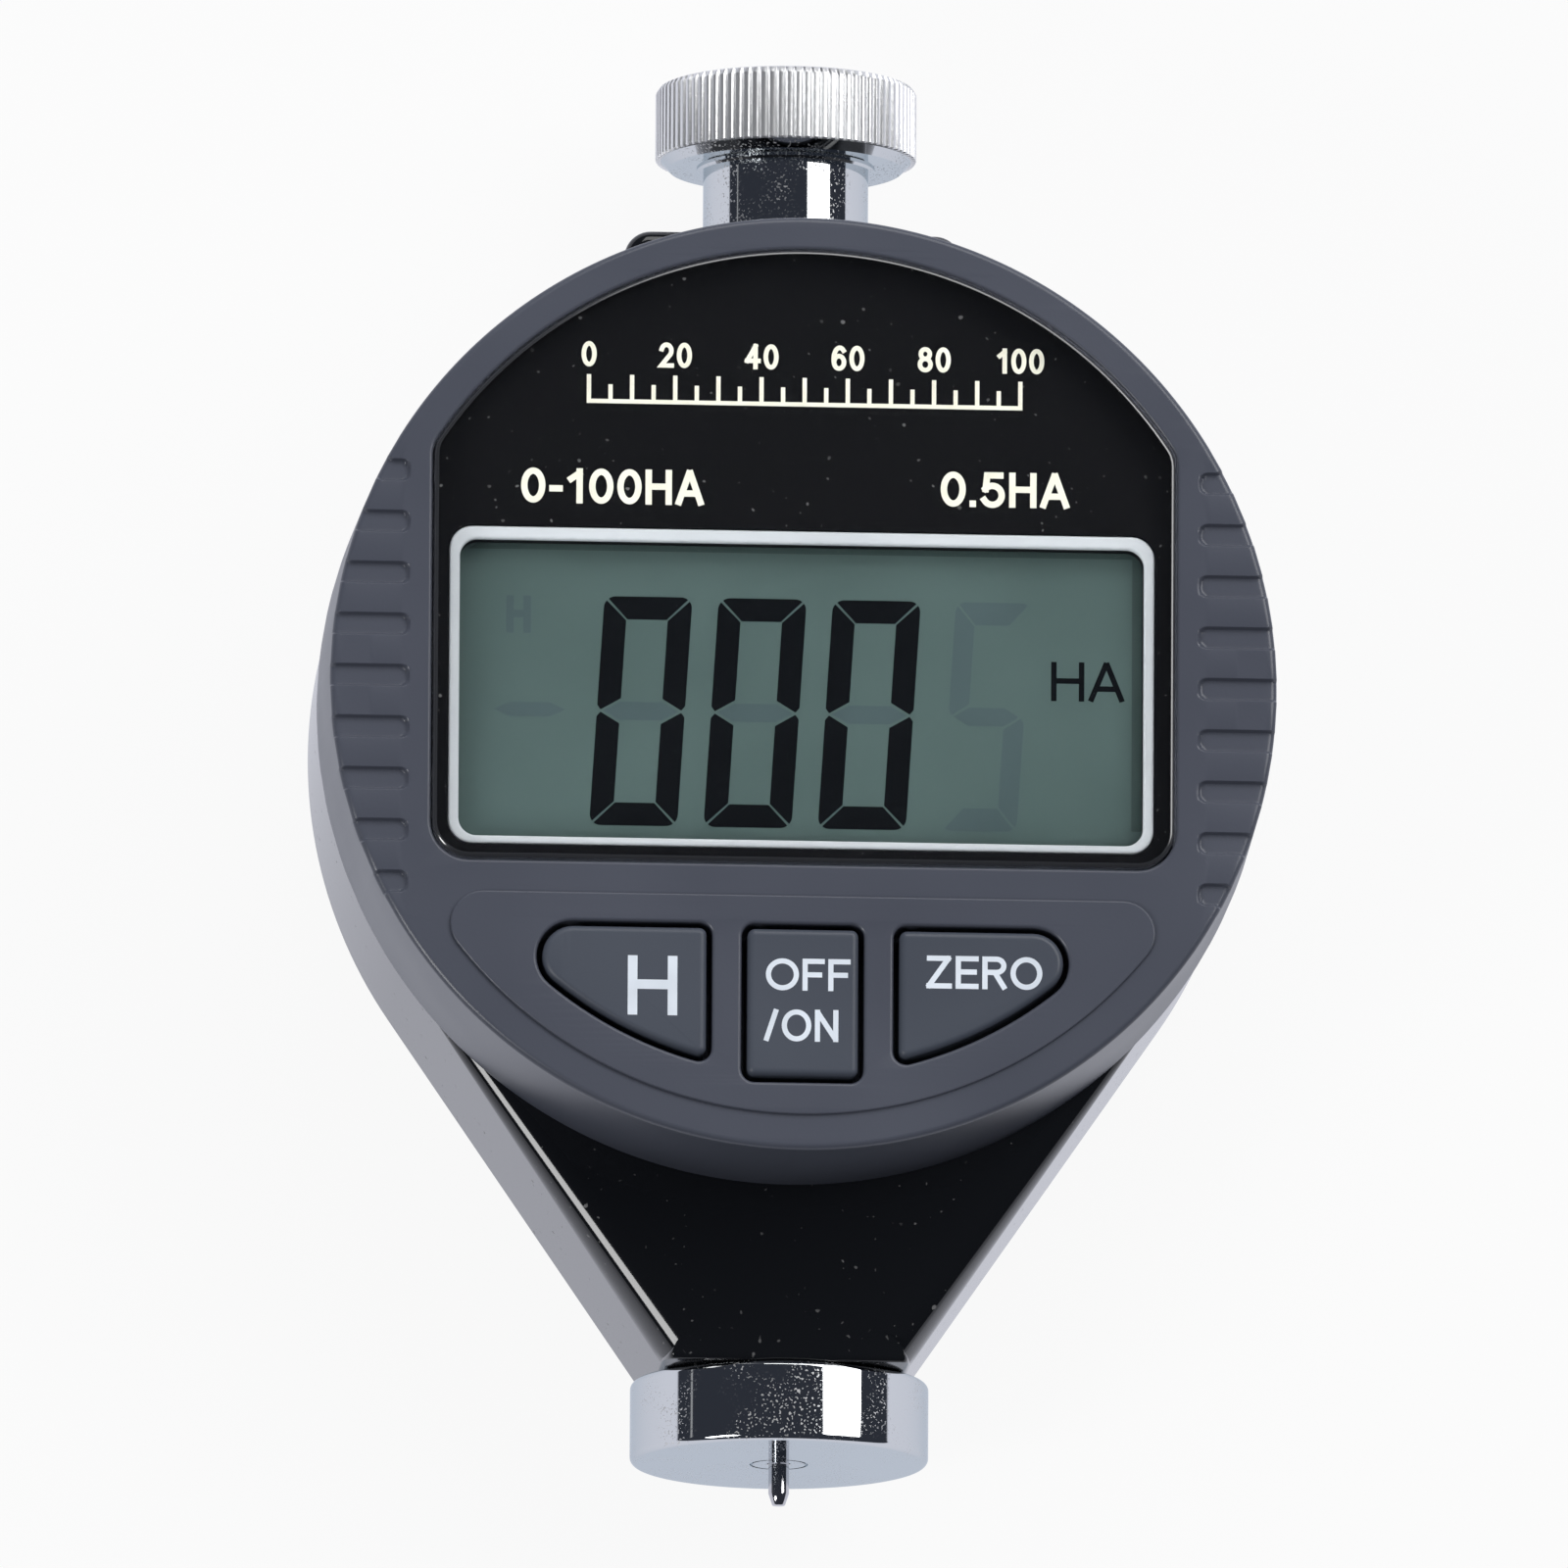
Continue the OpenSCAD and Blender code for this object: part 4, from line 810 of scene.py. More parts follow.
    def inside(self, skin, s, rim_angle):
        """The ceiling, the inner wall and the flat ring on the parting plane."""
        inner = circle(s.dial_r - s.wall)
        openings = [self.window(s)] + [key(s) for key in (left_key, middle_key, right_key)]
        skin.fill([inner] + openings, s.ceiling_z, up=False)
        skin.rings([inner, inner], [s.ceiling_z, PART_Z])
        top = arc(0, 0, COVER_HIGH.x, rim_angle, 180 - rim_angle, RIM_STEPS)[1:-1]
        right = self.side_foot
        skin.fill([np.concatenate([right, top, right[::-1] * [-1, 1], top[::-1] * [1, -1]]), inner], PART_Z, up=False)


class GAUGE_OT_body(bpy.types.Operator):
    """Builds the black body that runs in to the presser foot, with its flat boss"""

    bl_idname = "gauge.body"
    bl_label = "Body"

    def execute(self, context):
        s = context.scene.gauge_body
        skin = Skin()
        line, normal, front, wide, lean = self.outline(s)
        low, high = BODY_LOW.z, PART_Z
        back = np.full(len(line), s.back_edge)
        rows = [self.row(line, normal, back * fall, low + back * rise) for fall, rise in zip(*fillet(8))]
        tilt = s.lean_angle
        bow = lean / (1 - math.cos(tilt))
        start = np.arctan(math.tan(tilt) * front / wide)
        edge_low = high - front * (1 - np.sin(start))
        for t in np.linspace(0, tilt, 7)[:-1]:
            rows.append(self.row(line, normal, bow * (1 - np.cos(t)), edge_low - bow * (math.sin(tilt) - np.sin(t))))
        for share in np.linspace(0, 1, 16):
            t = start + (np.pi / 2 - start) * share
            inset = lean + wide * (np.cos(start) - np.cos(t))
            rows.append(self.row(line, normal, inset, high - front * (1 - np.sin(t))))
        skin.grid(np.stack(rows))
        skin.fill([rows[-1][:, :2]], high)
        seat, cavity = circle(s.seat_r), circle(s.cavity_r)
        skin.fill([rows[0][:, :2], seat], low, up=False)
        skin.rings([seat, seat, cavity, cavity], [low, s.seat_z, s.seat_z, s.deck_z], flip=True)
        skin.fill([cavity], s.deck_z, up=False)
        boss_y = BODY_HIGH.y + s.boss_rise - s.boss_wall / 2
        skin.slab(
            lambda g: round_rect(2 * s.boss_half, s.boss_wall, s.boss_round, g) + [0, boss_y],
            low + s.back_edge, high - s.front_edge, s.back_edge, s.front_edge,
        )
        skin.build("body_skin", "gloss_black_body", ["body_housing"])
        return {"FINISHED"}

    def row(self, line, normal, inset, level):
        """One ring of the skin: the outline drawn back along its normals, at its levels."""
        return np.column_stack([line - normal * np.asarray(inset)[:, None], level])

    def outline(self, s):
        """A circle, two tangents that run in to the end and round corners there, with the outward normals and
        the front edge's elliptic rounding and the walls' lean, which grow along the tangents towards the foot."""
        end_y = FOOT_TOP_Y
        corner = np.array([s.end_half, end_y])
        a = math.degrees(math.atan2(end_y, s.end_half)) + math.degrees(math.acos(s.round_r / np.hypot(*corner)))
        slope = np.radians(a)
        rc = s.end_corner
        centre_y = end_y + rc
        centre_x = (s.round_r - rc - centre_y * np.sin(slope)) / np.cos(slope)
        big = arc(0, 0, 1, a, 180 - a, 160)
        left = arc(0, 0, 1, 180 - a, 270)
        right = arc(0, 0, 1, -90, a)
        t = np.linspace(0, 1, 40)[1:-1, None]
        left_from, left_to = s.round_r * big[-1], [-centre_x, centre_y] + rc * left[0]
        right_from, right_to = [centre_x, centre_y] + rc * right[-1], s.round_r * big[0]
        line = np.concatenate(
            [
                s.round_r * big,
                left_from + (left_to - left_from) * t,
                [-centre_x, centre_y] + rc * left,
                [centre_x, centre_y] + rc * right,
                right_from + (right_to - right_from) * t,
            ]
        )
        normal = np.concatenate(
            [big, np.repeat(left[:1], len(t), axis=0), left, right, np.repeat(right[-1:], len(t), axis=0)]
        )
        start_y = s.round_r * big[0][1]
        share = np.clip((start_y - line[:, 1]) / (start_y - end_y), 0, 1)
        side = np.clip((1 + normal[:, 1]) / (1 + right[-1, 1]), 0, 1)
        grown = share * side
        over_foot = share * (1 - side) * (s.front_low_end - s.front_edge)
        front = s.front_edge + (s.front_edge_end - s.front_edge) * grown + over_foot
        wide = s.front_edge + (s.front_wide_end - s.front_edge) * grown + over_foot
        return line, normal, front, wide, s.lean * grown


def quarter(r, y, edge, upwards):
    """Radii and places of a quarter circle that rounds a turned edge ending at radius r and place y."""
    fall, rise = fillet()
    if upwards:
        return r - edge * rise, y - edge * fall
    return r - edge * fall, y + edge * rise


class GAUGE_OT_turned(bpy.types.Operator):
    """Builds the presser foot, the indenter and the knurled knob as turned pieces"""

    bl_idname = "gauge.turned"
    bl_label = "Turned pieces"

    def execute(self, context):
        s = context.scene.gauge_turned
        self.foot(s)
        self.needle(s)
        self.spring(s)
        self.knob(s)
        return {"FINISHED"}

    def foot(self, s):
        """A disc with round edges, a fine groove around its hole, a spigot behind it and a stepped bore."""
        low, top = FOOT_LOW.y, FOOT_LOW.y + s.foot_h
        r = FOOT_HIGH.x
        low_r, low_y = quarter(r, low, s.foot_edge, upwards=False)
        high_r, high_y = quarter(r, top, s.foot_edge, upwards=True)
        rim = s.hole_bevel
        ring, ring_w = s.foot_ring_r, s.foot_ring_w
        radii = [s.foot_hole_r, s.foot_hole_r + rim, ring, ring, ring + ring_w, ring + ring_w, *low_r, *high_r]
        radii += [s.spigot_r, s.spigot_r, s.foot_bore_r]
        radii += [s.foot_bore_r, s.foot_hole_r, s.foot_hole_r]
        inner = low + s.foot_face_t
        places = [low + rim, low, low, low + ring_w, low + ring_w, low, *low_y, *high_y]
        places += [top, FOOT_HIGH.y, FOOT_HIGH.y, inner, inner, low + rim]
        skin = Skin()
        skin.lathe(radii, places, steps=192)
        skin.build("presser_foot_skin", "bright_chrome", ["presser_foot"], sharp=30)

    def needle(self, s):
        """A pin with a cone that ends in a flat, with all its edges softened a little."""
        low, high = NEEDLE_LOW.y, NEEDLE_HIGH.y
        radii = [0, s.tip_r - s.tip_edge, s.tip_r, s.needle_r, s.needle_r, 0]
        places = [low, low, low + s.tip_edge, low + s.needle_cone, high, high]
        skin = Skin()
        skin.lathe(radii, places, steps=48)
        skin.build("indenter_skin", "needle_steel", ["indenter_needle"], body="plunger", sharp=30)

    def spring(self, s):
        """A wire of radius w along a helix of radius c: at turn a and wire angle b the radius is c + w cos b and
        the place is low + w + run a / (2 pi turns) + w sin b."""
        turn_steps, wire_steps = 40, 12
        w = s.wire_d / 2
        run = SPRING_HIGH.y - SPRING_LOW.y - 2 * w
        a = np.linspace(0, 2 * np.pi * s.spring_turns, turn_steps * s.spring_turns + 1)[:, None]
        b = np.linspace(0, 2 * np.pi, wire_steps, endpoint=False)
        r = SPRING_HIGH.x - w + w * np.cos(b)
        y = SPRING_LOW.y + w + run * a / a[-1] + w * np.sin(b)
        tube = np.stack([r * np.sin(a), y, AXIS_Z + r * np.cos(a)], axis=-1)
        skin = Skin()
        skin.grid(tube)
        for end in (tube[0], tube[-1]):
            skin.add(end, [np.arange(len(end))])
        wire = skin.build("main_spring_skin", "needle_steel", ["main_spring"], sharp=60)
        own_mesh(wire)

    def knob(self, s):
        """A polished stud and neck with a ring, and a satin head. Its radius is less by the knurl's depth times
        (w - f) / (1 - f) where a triangle wave w of the angle is above the flat ridges' share f."""
        top = KNOB_HIGH.y
        head = top - s.knob_h
        foot = head - s.neck_len
        soft = s.knob_soft
        r = KNOB_HIGH.x
        bevel, lip, depth = s.knob_bevel, s.knob_lip, s.knurl_depth
        ring, ring_y = s.neck_r + s.ring_w, head - s.ring_h
        under, root = head - s.knob_drop, r - depth - soft
        neck = Skin()
        neck.lathe(
            [0, s.stud_r, s.stud_r, s.neck_r - soft, s.neck_r, s.neck_r, ring - soft, ring, ring,
             root - lip, root, root, 0],
            [KNOB_LOW.y, KNOB_LOW.y, foot, foot, foot + soft, ring_y, ring_y, ring_y + soft, under,
             under, under + lip, head + lip, head + lip],
        )
        neck.build("top_knob_neck", "bright_chrome", ["top_knob"], sharp=30)
        ridge_steps = 8
        radii = [0, root - soft, r - 0.5 * soft, r, r, r - 0.1 * bevel, r - 0.5 * bevel, r - bevel, 0]
        places = [under + lip, under + lip, under + lip, under + lip + 0.5 * soft]
        places += [top - bevel, top - 0.8 * bevel, top - 0.2 * bevel, top, top]
        cut = np.array([0, 0, 1, 1, 1, 1, 0.25, 0, 0])[:, None] * depth
        knurl = Skin()

        def groove(a):
            wave = np.abs(2 * ((a * s.knurl_count / (2 * np.pi)) % 1) - 1)
            return cut * np.clip((wave - s.knurl_flat) / (1 - s.knurl_flat), 0, 1)

        knurl.lathe(radii, places, ridge_steps * s.knurl_count, groove)
        knurl.build("top_knob_head", "bright_chrome", finish="satin_chrome", sharp=24)


class GAUGE_OT_keys(bpy.types.Operator):
    """Builds the three keys with round edges and their printed labels"""

    bl_idname = "gauge.keys"
    bl_label = "Keys"

    def execute(self, context):
        s = context.scene.gauge_cover
        off_on = [("OFF", 0.3, -17.95, 1.95, 5.09), ("/ON", -0.1, -21.05, 1.95, 4.46)]
        rows = (
            # body, node, outline and labels: text, place across and up, height and width in millimetres
            ("hold_key", "hold_button", left_key, [("H", -9.05, -18.75, 3.62, 2.98)]),
            ("power_key", "power_button", middle_key, off_on),
            ("zero_key", "zero_button", right_key, [("ZERO", 10.88, -17.65, 2.0, 7.0)]),
        )
        high = KEY_HIGH.z - LABEL_T
        for body, node, outline, labels in rows:
            skin = Skin()
            skin.slab(lambda g: outline(s, g - s.key_gap), KEY_LOW.z, high, 0.0, s.key_edge)
            skin.slab(lambda g: outline(s, g + s.key_flange), KEY_LOW.z, KEY_LOW.z + s.key_flange_t)
            skin.build(node + "_skin", "key_grey", [node], body=body)
            for text, x, y, h, w in labels:
                name = node + "_label_" + text.strip("/").lower()
                print_text(name, text, (x, y, h, w), high, LABEL_T, 0.16, "key_grey", "key_print", body)
        return {"FINISHED"}


def bowl(x, y, half_w, half_h, start, end, steps=20):
    """Points of an elliptic arc between two angles in degrees."""
    return arc(0, 0, 1, start, end, steps) * [half_w, half_h] + [x, y]


def oval(x, y, half_w, half_h):
    """Points of a full ellipse, without its repeated last point."""
    return bowl(x, y, half_w, half_h, 0, 360, 40)[:-1]


def stem(*points):
    """The centre line of a straight or bent stroke."""
    return np.array(points, dtype=float)


# Centre lines of the printed signs in a box one high: width, open strokes and closed strokes
SIGNS = {
    "0": (0.50, [], [oval(0.5, 0.5, 0.5, 0.5)]),
    "1": (0.34, [stem((0.8, 0), (0.8, 1)), stem((0.74, 0.93), (0.1, 0.74))], []),
    "2": (0.50, [np.concatenate([bowl(0.5, 0.71, 0.46, 0.29, 165, -38), stem((0.02, 0), (1, 0))])], []),
    "4": (0.54, [stem((0.74, 0), (0.74, 1)), stem((0.74, 1), (0.02, 0.3)), stem((0.02, 0.3), (1, 0.3))], []),
    "5": (0.50, [stem((0.9, 1), (0.2, 1), (0.12, 0.52)), bowl(0.48, 0.31, 0.5, 0.33, 138, -150)], []),
    "6": (0.50, [bowl(0.56, 0.45, 0.56, 0.55, 50, 185)], [oval(0.5, 0.3, 0.47, 0.3)]),
    "8": (0.50, [], [oval(0.5, 0.77, 0.42, 0.23), oval(0.5, 0.27, 0.5, 0.27)]),
    "H": (0.56, [stem((0, 0), (0, 1)), stem((1, 0), (1, 1)), stem((0, 0.52), (1, 0.52))], []),
    "A": (0.60, [stem((0, 0), (0.47, 1)), stem((1, 0), (0.53, 1)), stem((0.2, 0.3), (0.8, 0.3))], []),
    "E": (0.48, [stem((1, 1), (0, 1), (0, 0), (1, 0)), stem((0, 0.52), (0.9, 0.52))], []),
    "F": (0.44, [stem((0, 0), (0, 1), (1, 1)), stem((0, 0.5), (0.85, 0.5))], []),
    "N": (0.54, [stem((0, 0), (0, 1)), stem((0.04, 0.97), (0.96, 0.03)), stem((1, 0), (1, 1))], []),
    "O": (0.72, [], [oval(0.5, 0.5, 0.5, 0.5)]),
    "R": (
        0.52,
        [
            stem((0, 0), (0, 1)),
            np.concatenate([stem((0, 1)), bowl(0.6, 0.76, 0.38, 0.24, 90, -90), stem((0, 0.52))]),
            stem((0.55, 0.48), (0.98, 0)),
        ],
        [],
    ),
    "Z": (0.56, [stem((0.04, 1), (0.94, 1)), stem((0.94, 0.98), (0.03, 0.02)), stem((0.02, 0), (1, 0))], []),
    "-": (0.20, [stem((0, 0.4), (1, 0.4))], []),
    ".": (0.01, [stem((0, 0), (0, 0.01))], []),
    "/": (0.26, [stem((0, 0), (1, 1))], []),
}
SIGN_GAP = 0.13  # space between two signs as a share of their height
STROKE_DROP = 0.25  # how much lower each stroke of a sign lies, as a share of the print's thickness
BEND_LIMIT = 0.4  # keeps the outer corner of a sharp bend from running far out


def sideways(points, closed):
    """The direction to the left of a centre line at each point, long enough to keep the stroke's width at bends."""
    run = np.roll(points, -1, axis=0) - points if closed else np.diff(points, axis=0)
    run = run / np.linalg.norm(run, axis=1)[:, None]
    left = np.column_stack([-run[:, 1], run[:, 0]])
    if closed:
        before, after = np.roll(left, 1, axis=0), left
    else:
        before, after = np.concatenate([left[:1], left]), np.concatenate([left, left[-1:]])
    return (before + after) / np.maximum(1 + (before * after).sum(axis=1), BEND_LIMIT)[:, None]


def add_sign(skin, sign, corner, size, low, high, stroke):
    """Adds the strokes of a sign as thin plates, each a hair lower than the one before it."""
    width, open_lines, loops = SIGNS[sign]
    step = (high - low) * STROKE_DROP
    half = stroke / 2
    for points in open_lines:
        points = points * [width * size[0], size[1]]
        first, last = points[0] - points[1], points[-1] - points[-2]
        points[0] += first / np.linalg.norm(first) * half
        points[-1] += last / np.linalg.norm(last) * half
        left = sideways(points, False) * half
        plate = np.concatenate([points - left, (points + left)[::-1]]) + corner
        skin.plate(plate, low, high)
        low, high = low - step, high - step
    for points in loops:
        points = points * [width * size[0], size[1]]
        left = sideways(points, True) * half
        skin.collar(points - left + corner, points + left + corner, low, high)
        low, high = low - step, high - step


def print_text(name, text, box, z, thickness, weight, slot, finish, body="housing"):
    """A thin printed word. Its box is the middle across and up, the height and the width in millimetres, where a
    width of nought keeps the signs' own proportions. The weight is the stroke's share of the height."""
    x, y, height, width = (value * MM for value in box)
    stroke = height * weight
    tall = height - stroke
    gap = stroke + SIGN_GAP * tall
    own = sum(SIGNS[sign][0] for sign in text)
    gaps = gap * (len(text) - 1)
    wide = (width - stroke - gaps) / own if width else tall
    corner = np.array([x - (own * wide + gaps) / 2, y - tall / 2])
    skin = Skin()
    for sign in text:
        add_sign(skin, sign, corner, (wide, tall), z, z + thickness, stroke)
        corner = corner + [SIGNS[sign][0] * wide + gap, 0]
    skin.build(name, slot, body=body, finish=finish)


class GAUGE_OT_display(bpy.types.Operator):
    """Builds the lens, its mask and prints, the white frame, the display and its digits"""

    bl_idname = "gauge.display"
    bl_label = "Display"

    def execute(self, context):
        s = context.scene.gauge_cover
        d = context.scene.gauge_display
        self.window(s, d)
        self.frame_ring(d)
        self.digits(d)
        self.prints(d)
        return {"FINISHED"}

    def window(self, s, d):
        """The lens with a bevelled front edge, and the mask behind it with the view cut out."""
        lens = Skin()
        lens.slab(lambda g: lens_outline(s, g), LENS_LOW.z + d.print_t * 2, LENS_HIGH.z, 0.0, s.lens_bevel, 4)
        lens.build("display_lens_skin", "lens_glass", ["display_lens"], sharp=30)
        fall, rise = fillet()
        draws = d.print_t - s.lens_bevel * rise
        levels = LENS_HIGH.z - s.lens_bevel * fall
        rim = Skin()
        rim.rings([lens_outline(s, g) for g in (*draws, draws[0])], (*levels, levels[0]))
        rim.build("display_lens_rim", "mask_black", finish="lens_rim")
        mask = Skin()
        view = round_rect(VIEW_W, VIEW_H, d.frame_round, d.mask_gap) + VIEW_AT
        mask.collar(lens_outline(s), view, MASK_LOW.z, MASK_HIGH.z - d.print_t)
        mask.build("display_mask_skin", "mask_black", ["display_mask"])

    def frame_ring(self, d):
        """A white bar with rounded front edges on a dark well, whose black inner wall below the bar is also painted
        shade, and a box behind it for the glass.
        """
        line = d.frame_line
        edge = d.frame_edge
        fall, rise = fillet(5)
        inner = d.frame_round - line / 2

        def outer_line(grow):
            return round_rect(VIEW_W, VIEW_H, d.frame_round, grow) + VIEW_AT

        def inner_line(grow):
            return round_rect(VIEW_W - 2 * line, VIEW_H - 2 * line, inner, grow) + VIEW_AT - [0, d.frame_shift]

        top, flange, low = BEZEL_HIGH.z - d.print_t, FLANGE_Z, BEZEL_LOW.z
        shoulder = LCD_HIGH.z - d.glass_rise
        seat = top - d.frame_t
        bar = Skin()
        bar.rings([outer_line(0), *map(outer_line, -edge * rise)], [seat, *(top - edge * fall)])
        bar.fill([outer_line(-edge), inner_line(edge)], top)
        bar.rings([*map(inner_line, edge * fall), inner_line(0)], [*(top - edge * rise), seat], flip=True)
        bar.fill([outer_line(0), inner_line(0)], seat, up=False)
        bar.build("lcd_bezel_skin", "frame_white", ["lcd_bezel"])
        w, h = BEZEL_HIGH.x - BEZEL_LOW.x, BEZEL_HIGH.y - BEZEL_LOW.y
        box = round_rect(w, h, d.box_round)
        glass = round_rect(w - 2 * d.box_wall, h - 2 * d.box_wall, d.panel_round)
        seat -= d.print_t
        # The well is a black part, and below the white bar its black also serves as painted shade
        well = Skin()
        well.rings([outer_line(0), outer_line(0)], [flange, seat])
        well.fill([outer_line(0), inner_line(0)], seat)
        well.rings([inner_line(0), inner_line(0)], [seat, shoulder], flip=True)
        well.fill([box, outer_line(0)], flange)
        well.rings([box, box], [low, flange])
        well.fill([glass, inner_line(0)], shoulder, up=False)
        well.rings([glass, glass], [shoulder, low])
        well.fill([box, glass], low, up=False)
        well.build("lcd_bezel_well", "mask_black")
        panel = Skin()
        size, middle = LCD_HIGH - LCD_LOW, (LCD_HIGH + LCD_LOW) / 2
        panel.plate(round_rect(size.x, size.y, d.panel_round) + middle.to_2d(), LCD_LOW.z, shoulder)
        panel.plate(inner_line(-d.print_t), shoulder, LCD_HIGH.z)
        panel.build("lcd_panel_skin", "lcd_grey", ["lcd_panel"])
        self.border(d, inner_line(-2 * d.print_t), inner)

    def border(self, d, glass, corner):
        """A thin dark plate of painted shade, where the frame's shadow falls along the upper and the right side of
        the glass, round at its outer corner.
        """
        (left, bottom), (right, high) = glass.min(axis=0), glass.max(axis=0)
        shape = np.concatenate(
            [
                [[right - d.border_side, bottom + corner], [right, bottom + corner]],
                arc(right - corner, high - corner, corner, 0, 90, 8),
                [[left + corner, high], [left + corner / 2, high - d.border_top]],
                [[right - d.border_side, high - d.border_top]],
            ]
        )
        # This strip and its finish are painted shade: the white frame's shadow on the glass
        strip = Skin()
        low = LCD_HIGH.z + GLASS_HAIR
        strip.plate(shape, low, low + d.print_t)
        strip.build("display_border", "lcd_grey", finish="display_border")

    def segments(self, d, w, h):
        """The seven segments of a digit: bars with mitred ends, round outer corners and a pointed middle bar."""
        x, y, t, g = w / 2, h / 2, d.segment_w, d.segment_gap / 2
        c = 0.5 * t
        top = arc(x - c, y - c, c, 90, 51, 4)
        bottom = arc(x - c, y - c, c, 39, 0, 4)
        upper = np.concatenate([top[::-1] * [-1, 1], top, [[x - t - g, y - t], [-x + t + g, y - t]]])
        point, half = x - 0.16 * t, 0.45 * t - g
        side = np.concatenate([bottom, [[x, 0.2 * t + g], [point, g], [x - t, 0.5 * t + g], [x - t, y - t - g]]])
        end = point - 2 * g
        middle = np.array([[-end, 0], [t - x, half], [x - t, half], [end, 0], [x - t, -half], [t - x, -half]])
        return {
            "a": upper, "d": upper * [1, -1], "g": middle,
            "b": side, "c": side * [1, -1], "f": side * [-1, 1], "e": side * [-1, -1],
        }

    def digits(self, d):
        """The lit and the resting segments, slanted by x + y tan(slant), as thin plates on the glass."""
        lit, ghost = Skin(), Skin()
        low = LCD_HIGH.z + GLASS_HAIR
        shapes = self.segments(d, d.digit_w, d.digit_h)
        slant = math.tan(d.digit_slant)

        def place(skin, shape, x):
            points = shape + [x, d.digit_y]
            points[:, 0] += shape[:, 1] * slant
            turn = np.roll(points, -1, axis=0)
            if (points[:, 0] * turn[:, 1] - points[:, 1] * turn[:, 0]).sum() < 0:
                points = points[::-1]
            skin.plate(points, low, low + d.print_t)

        for row in range(3):
            x = d.digit_x + row * d.digit_pitch
            for key in "abcdef":
                place(lit, shapes[key], x)
            place(ghost, shapes["g"], x)
        for key in "afgcd":
            place(ghost, shapes[key] * [0.86, 1], d.last_digit_x)
        place(ghost, shapes["g"] * [0.95, 0.8], d.minus_x)
        lit.build("digits_lit", "lcd_grey", finish="segment_dark")
        ghost.build("digits_resting", "lcd_grey", finish="segment_ghost")
        print_text("unit_ha", "HA", (17.22, 0.73, 2.4, 4.4), low, d.print_t, 0.14, "lcd_grey", "segment_dark")
        print_text("resting_h", "H", (-17.08, 4.28, 2.3, 0), low, d.print_t, 0.2, "lcd_grey", "segment_ghost")

    def prints(self, d):
        """A scale of ticks with numbers, and the range and step in numbers, on the mask behind the lens."""
        low = MASK_HIGH.z - d.print_t + MASK_HAIR
        sunk = low - 0.08 * d.print_t
        base, half = d.scale_y, d.tick_w / 2
        ticks = Skin()
        for step in range(d.scale_steps + 1):
            x = (step / d.scale_steps - 0.5) * d.scale_w
            high = base + (d.tick_short if step % 2 else d.tick_long)
            ticks.plate(oblong(x - half, base - half, x + half, high), sunk, sunk + d.print_t)
        half_w = d.scale_w / 2 + half
        ticks.plate(oblong(-half_w, base - d.tick_w, half_w, base), low, low + d.print_t)
        ticks.build("scale_ticks", "mask_black", finish="cream_print")
        marks = [(str(v), ((v / 100 - 0.5) * d.scale_w / MM, base / MM + 2.75, 1.55, 0)) for v in range(0, 101, 20)]
        marks += [("0-100HA", (-11.55, 11.95, 2.15, 11.0)), ("0.5HA", (12.1, 12.15, 2.15, 7.75))]
        for text, box in marks:
            name = "print_" + text.replace(".", "_").replace("-", "_to_")
            print_text(name, text, box, low, d.print_t, 0.18, "mask_black", "cream_print")


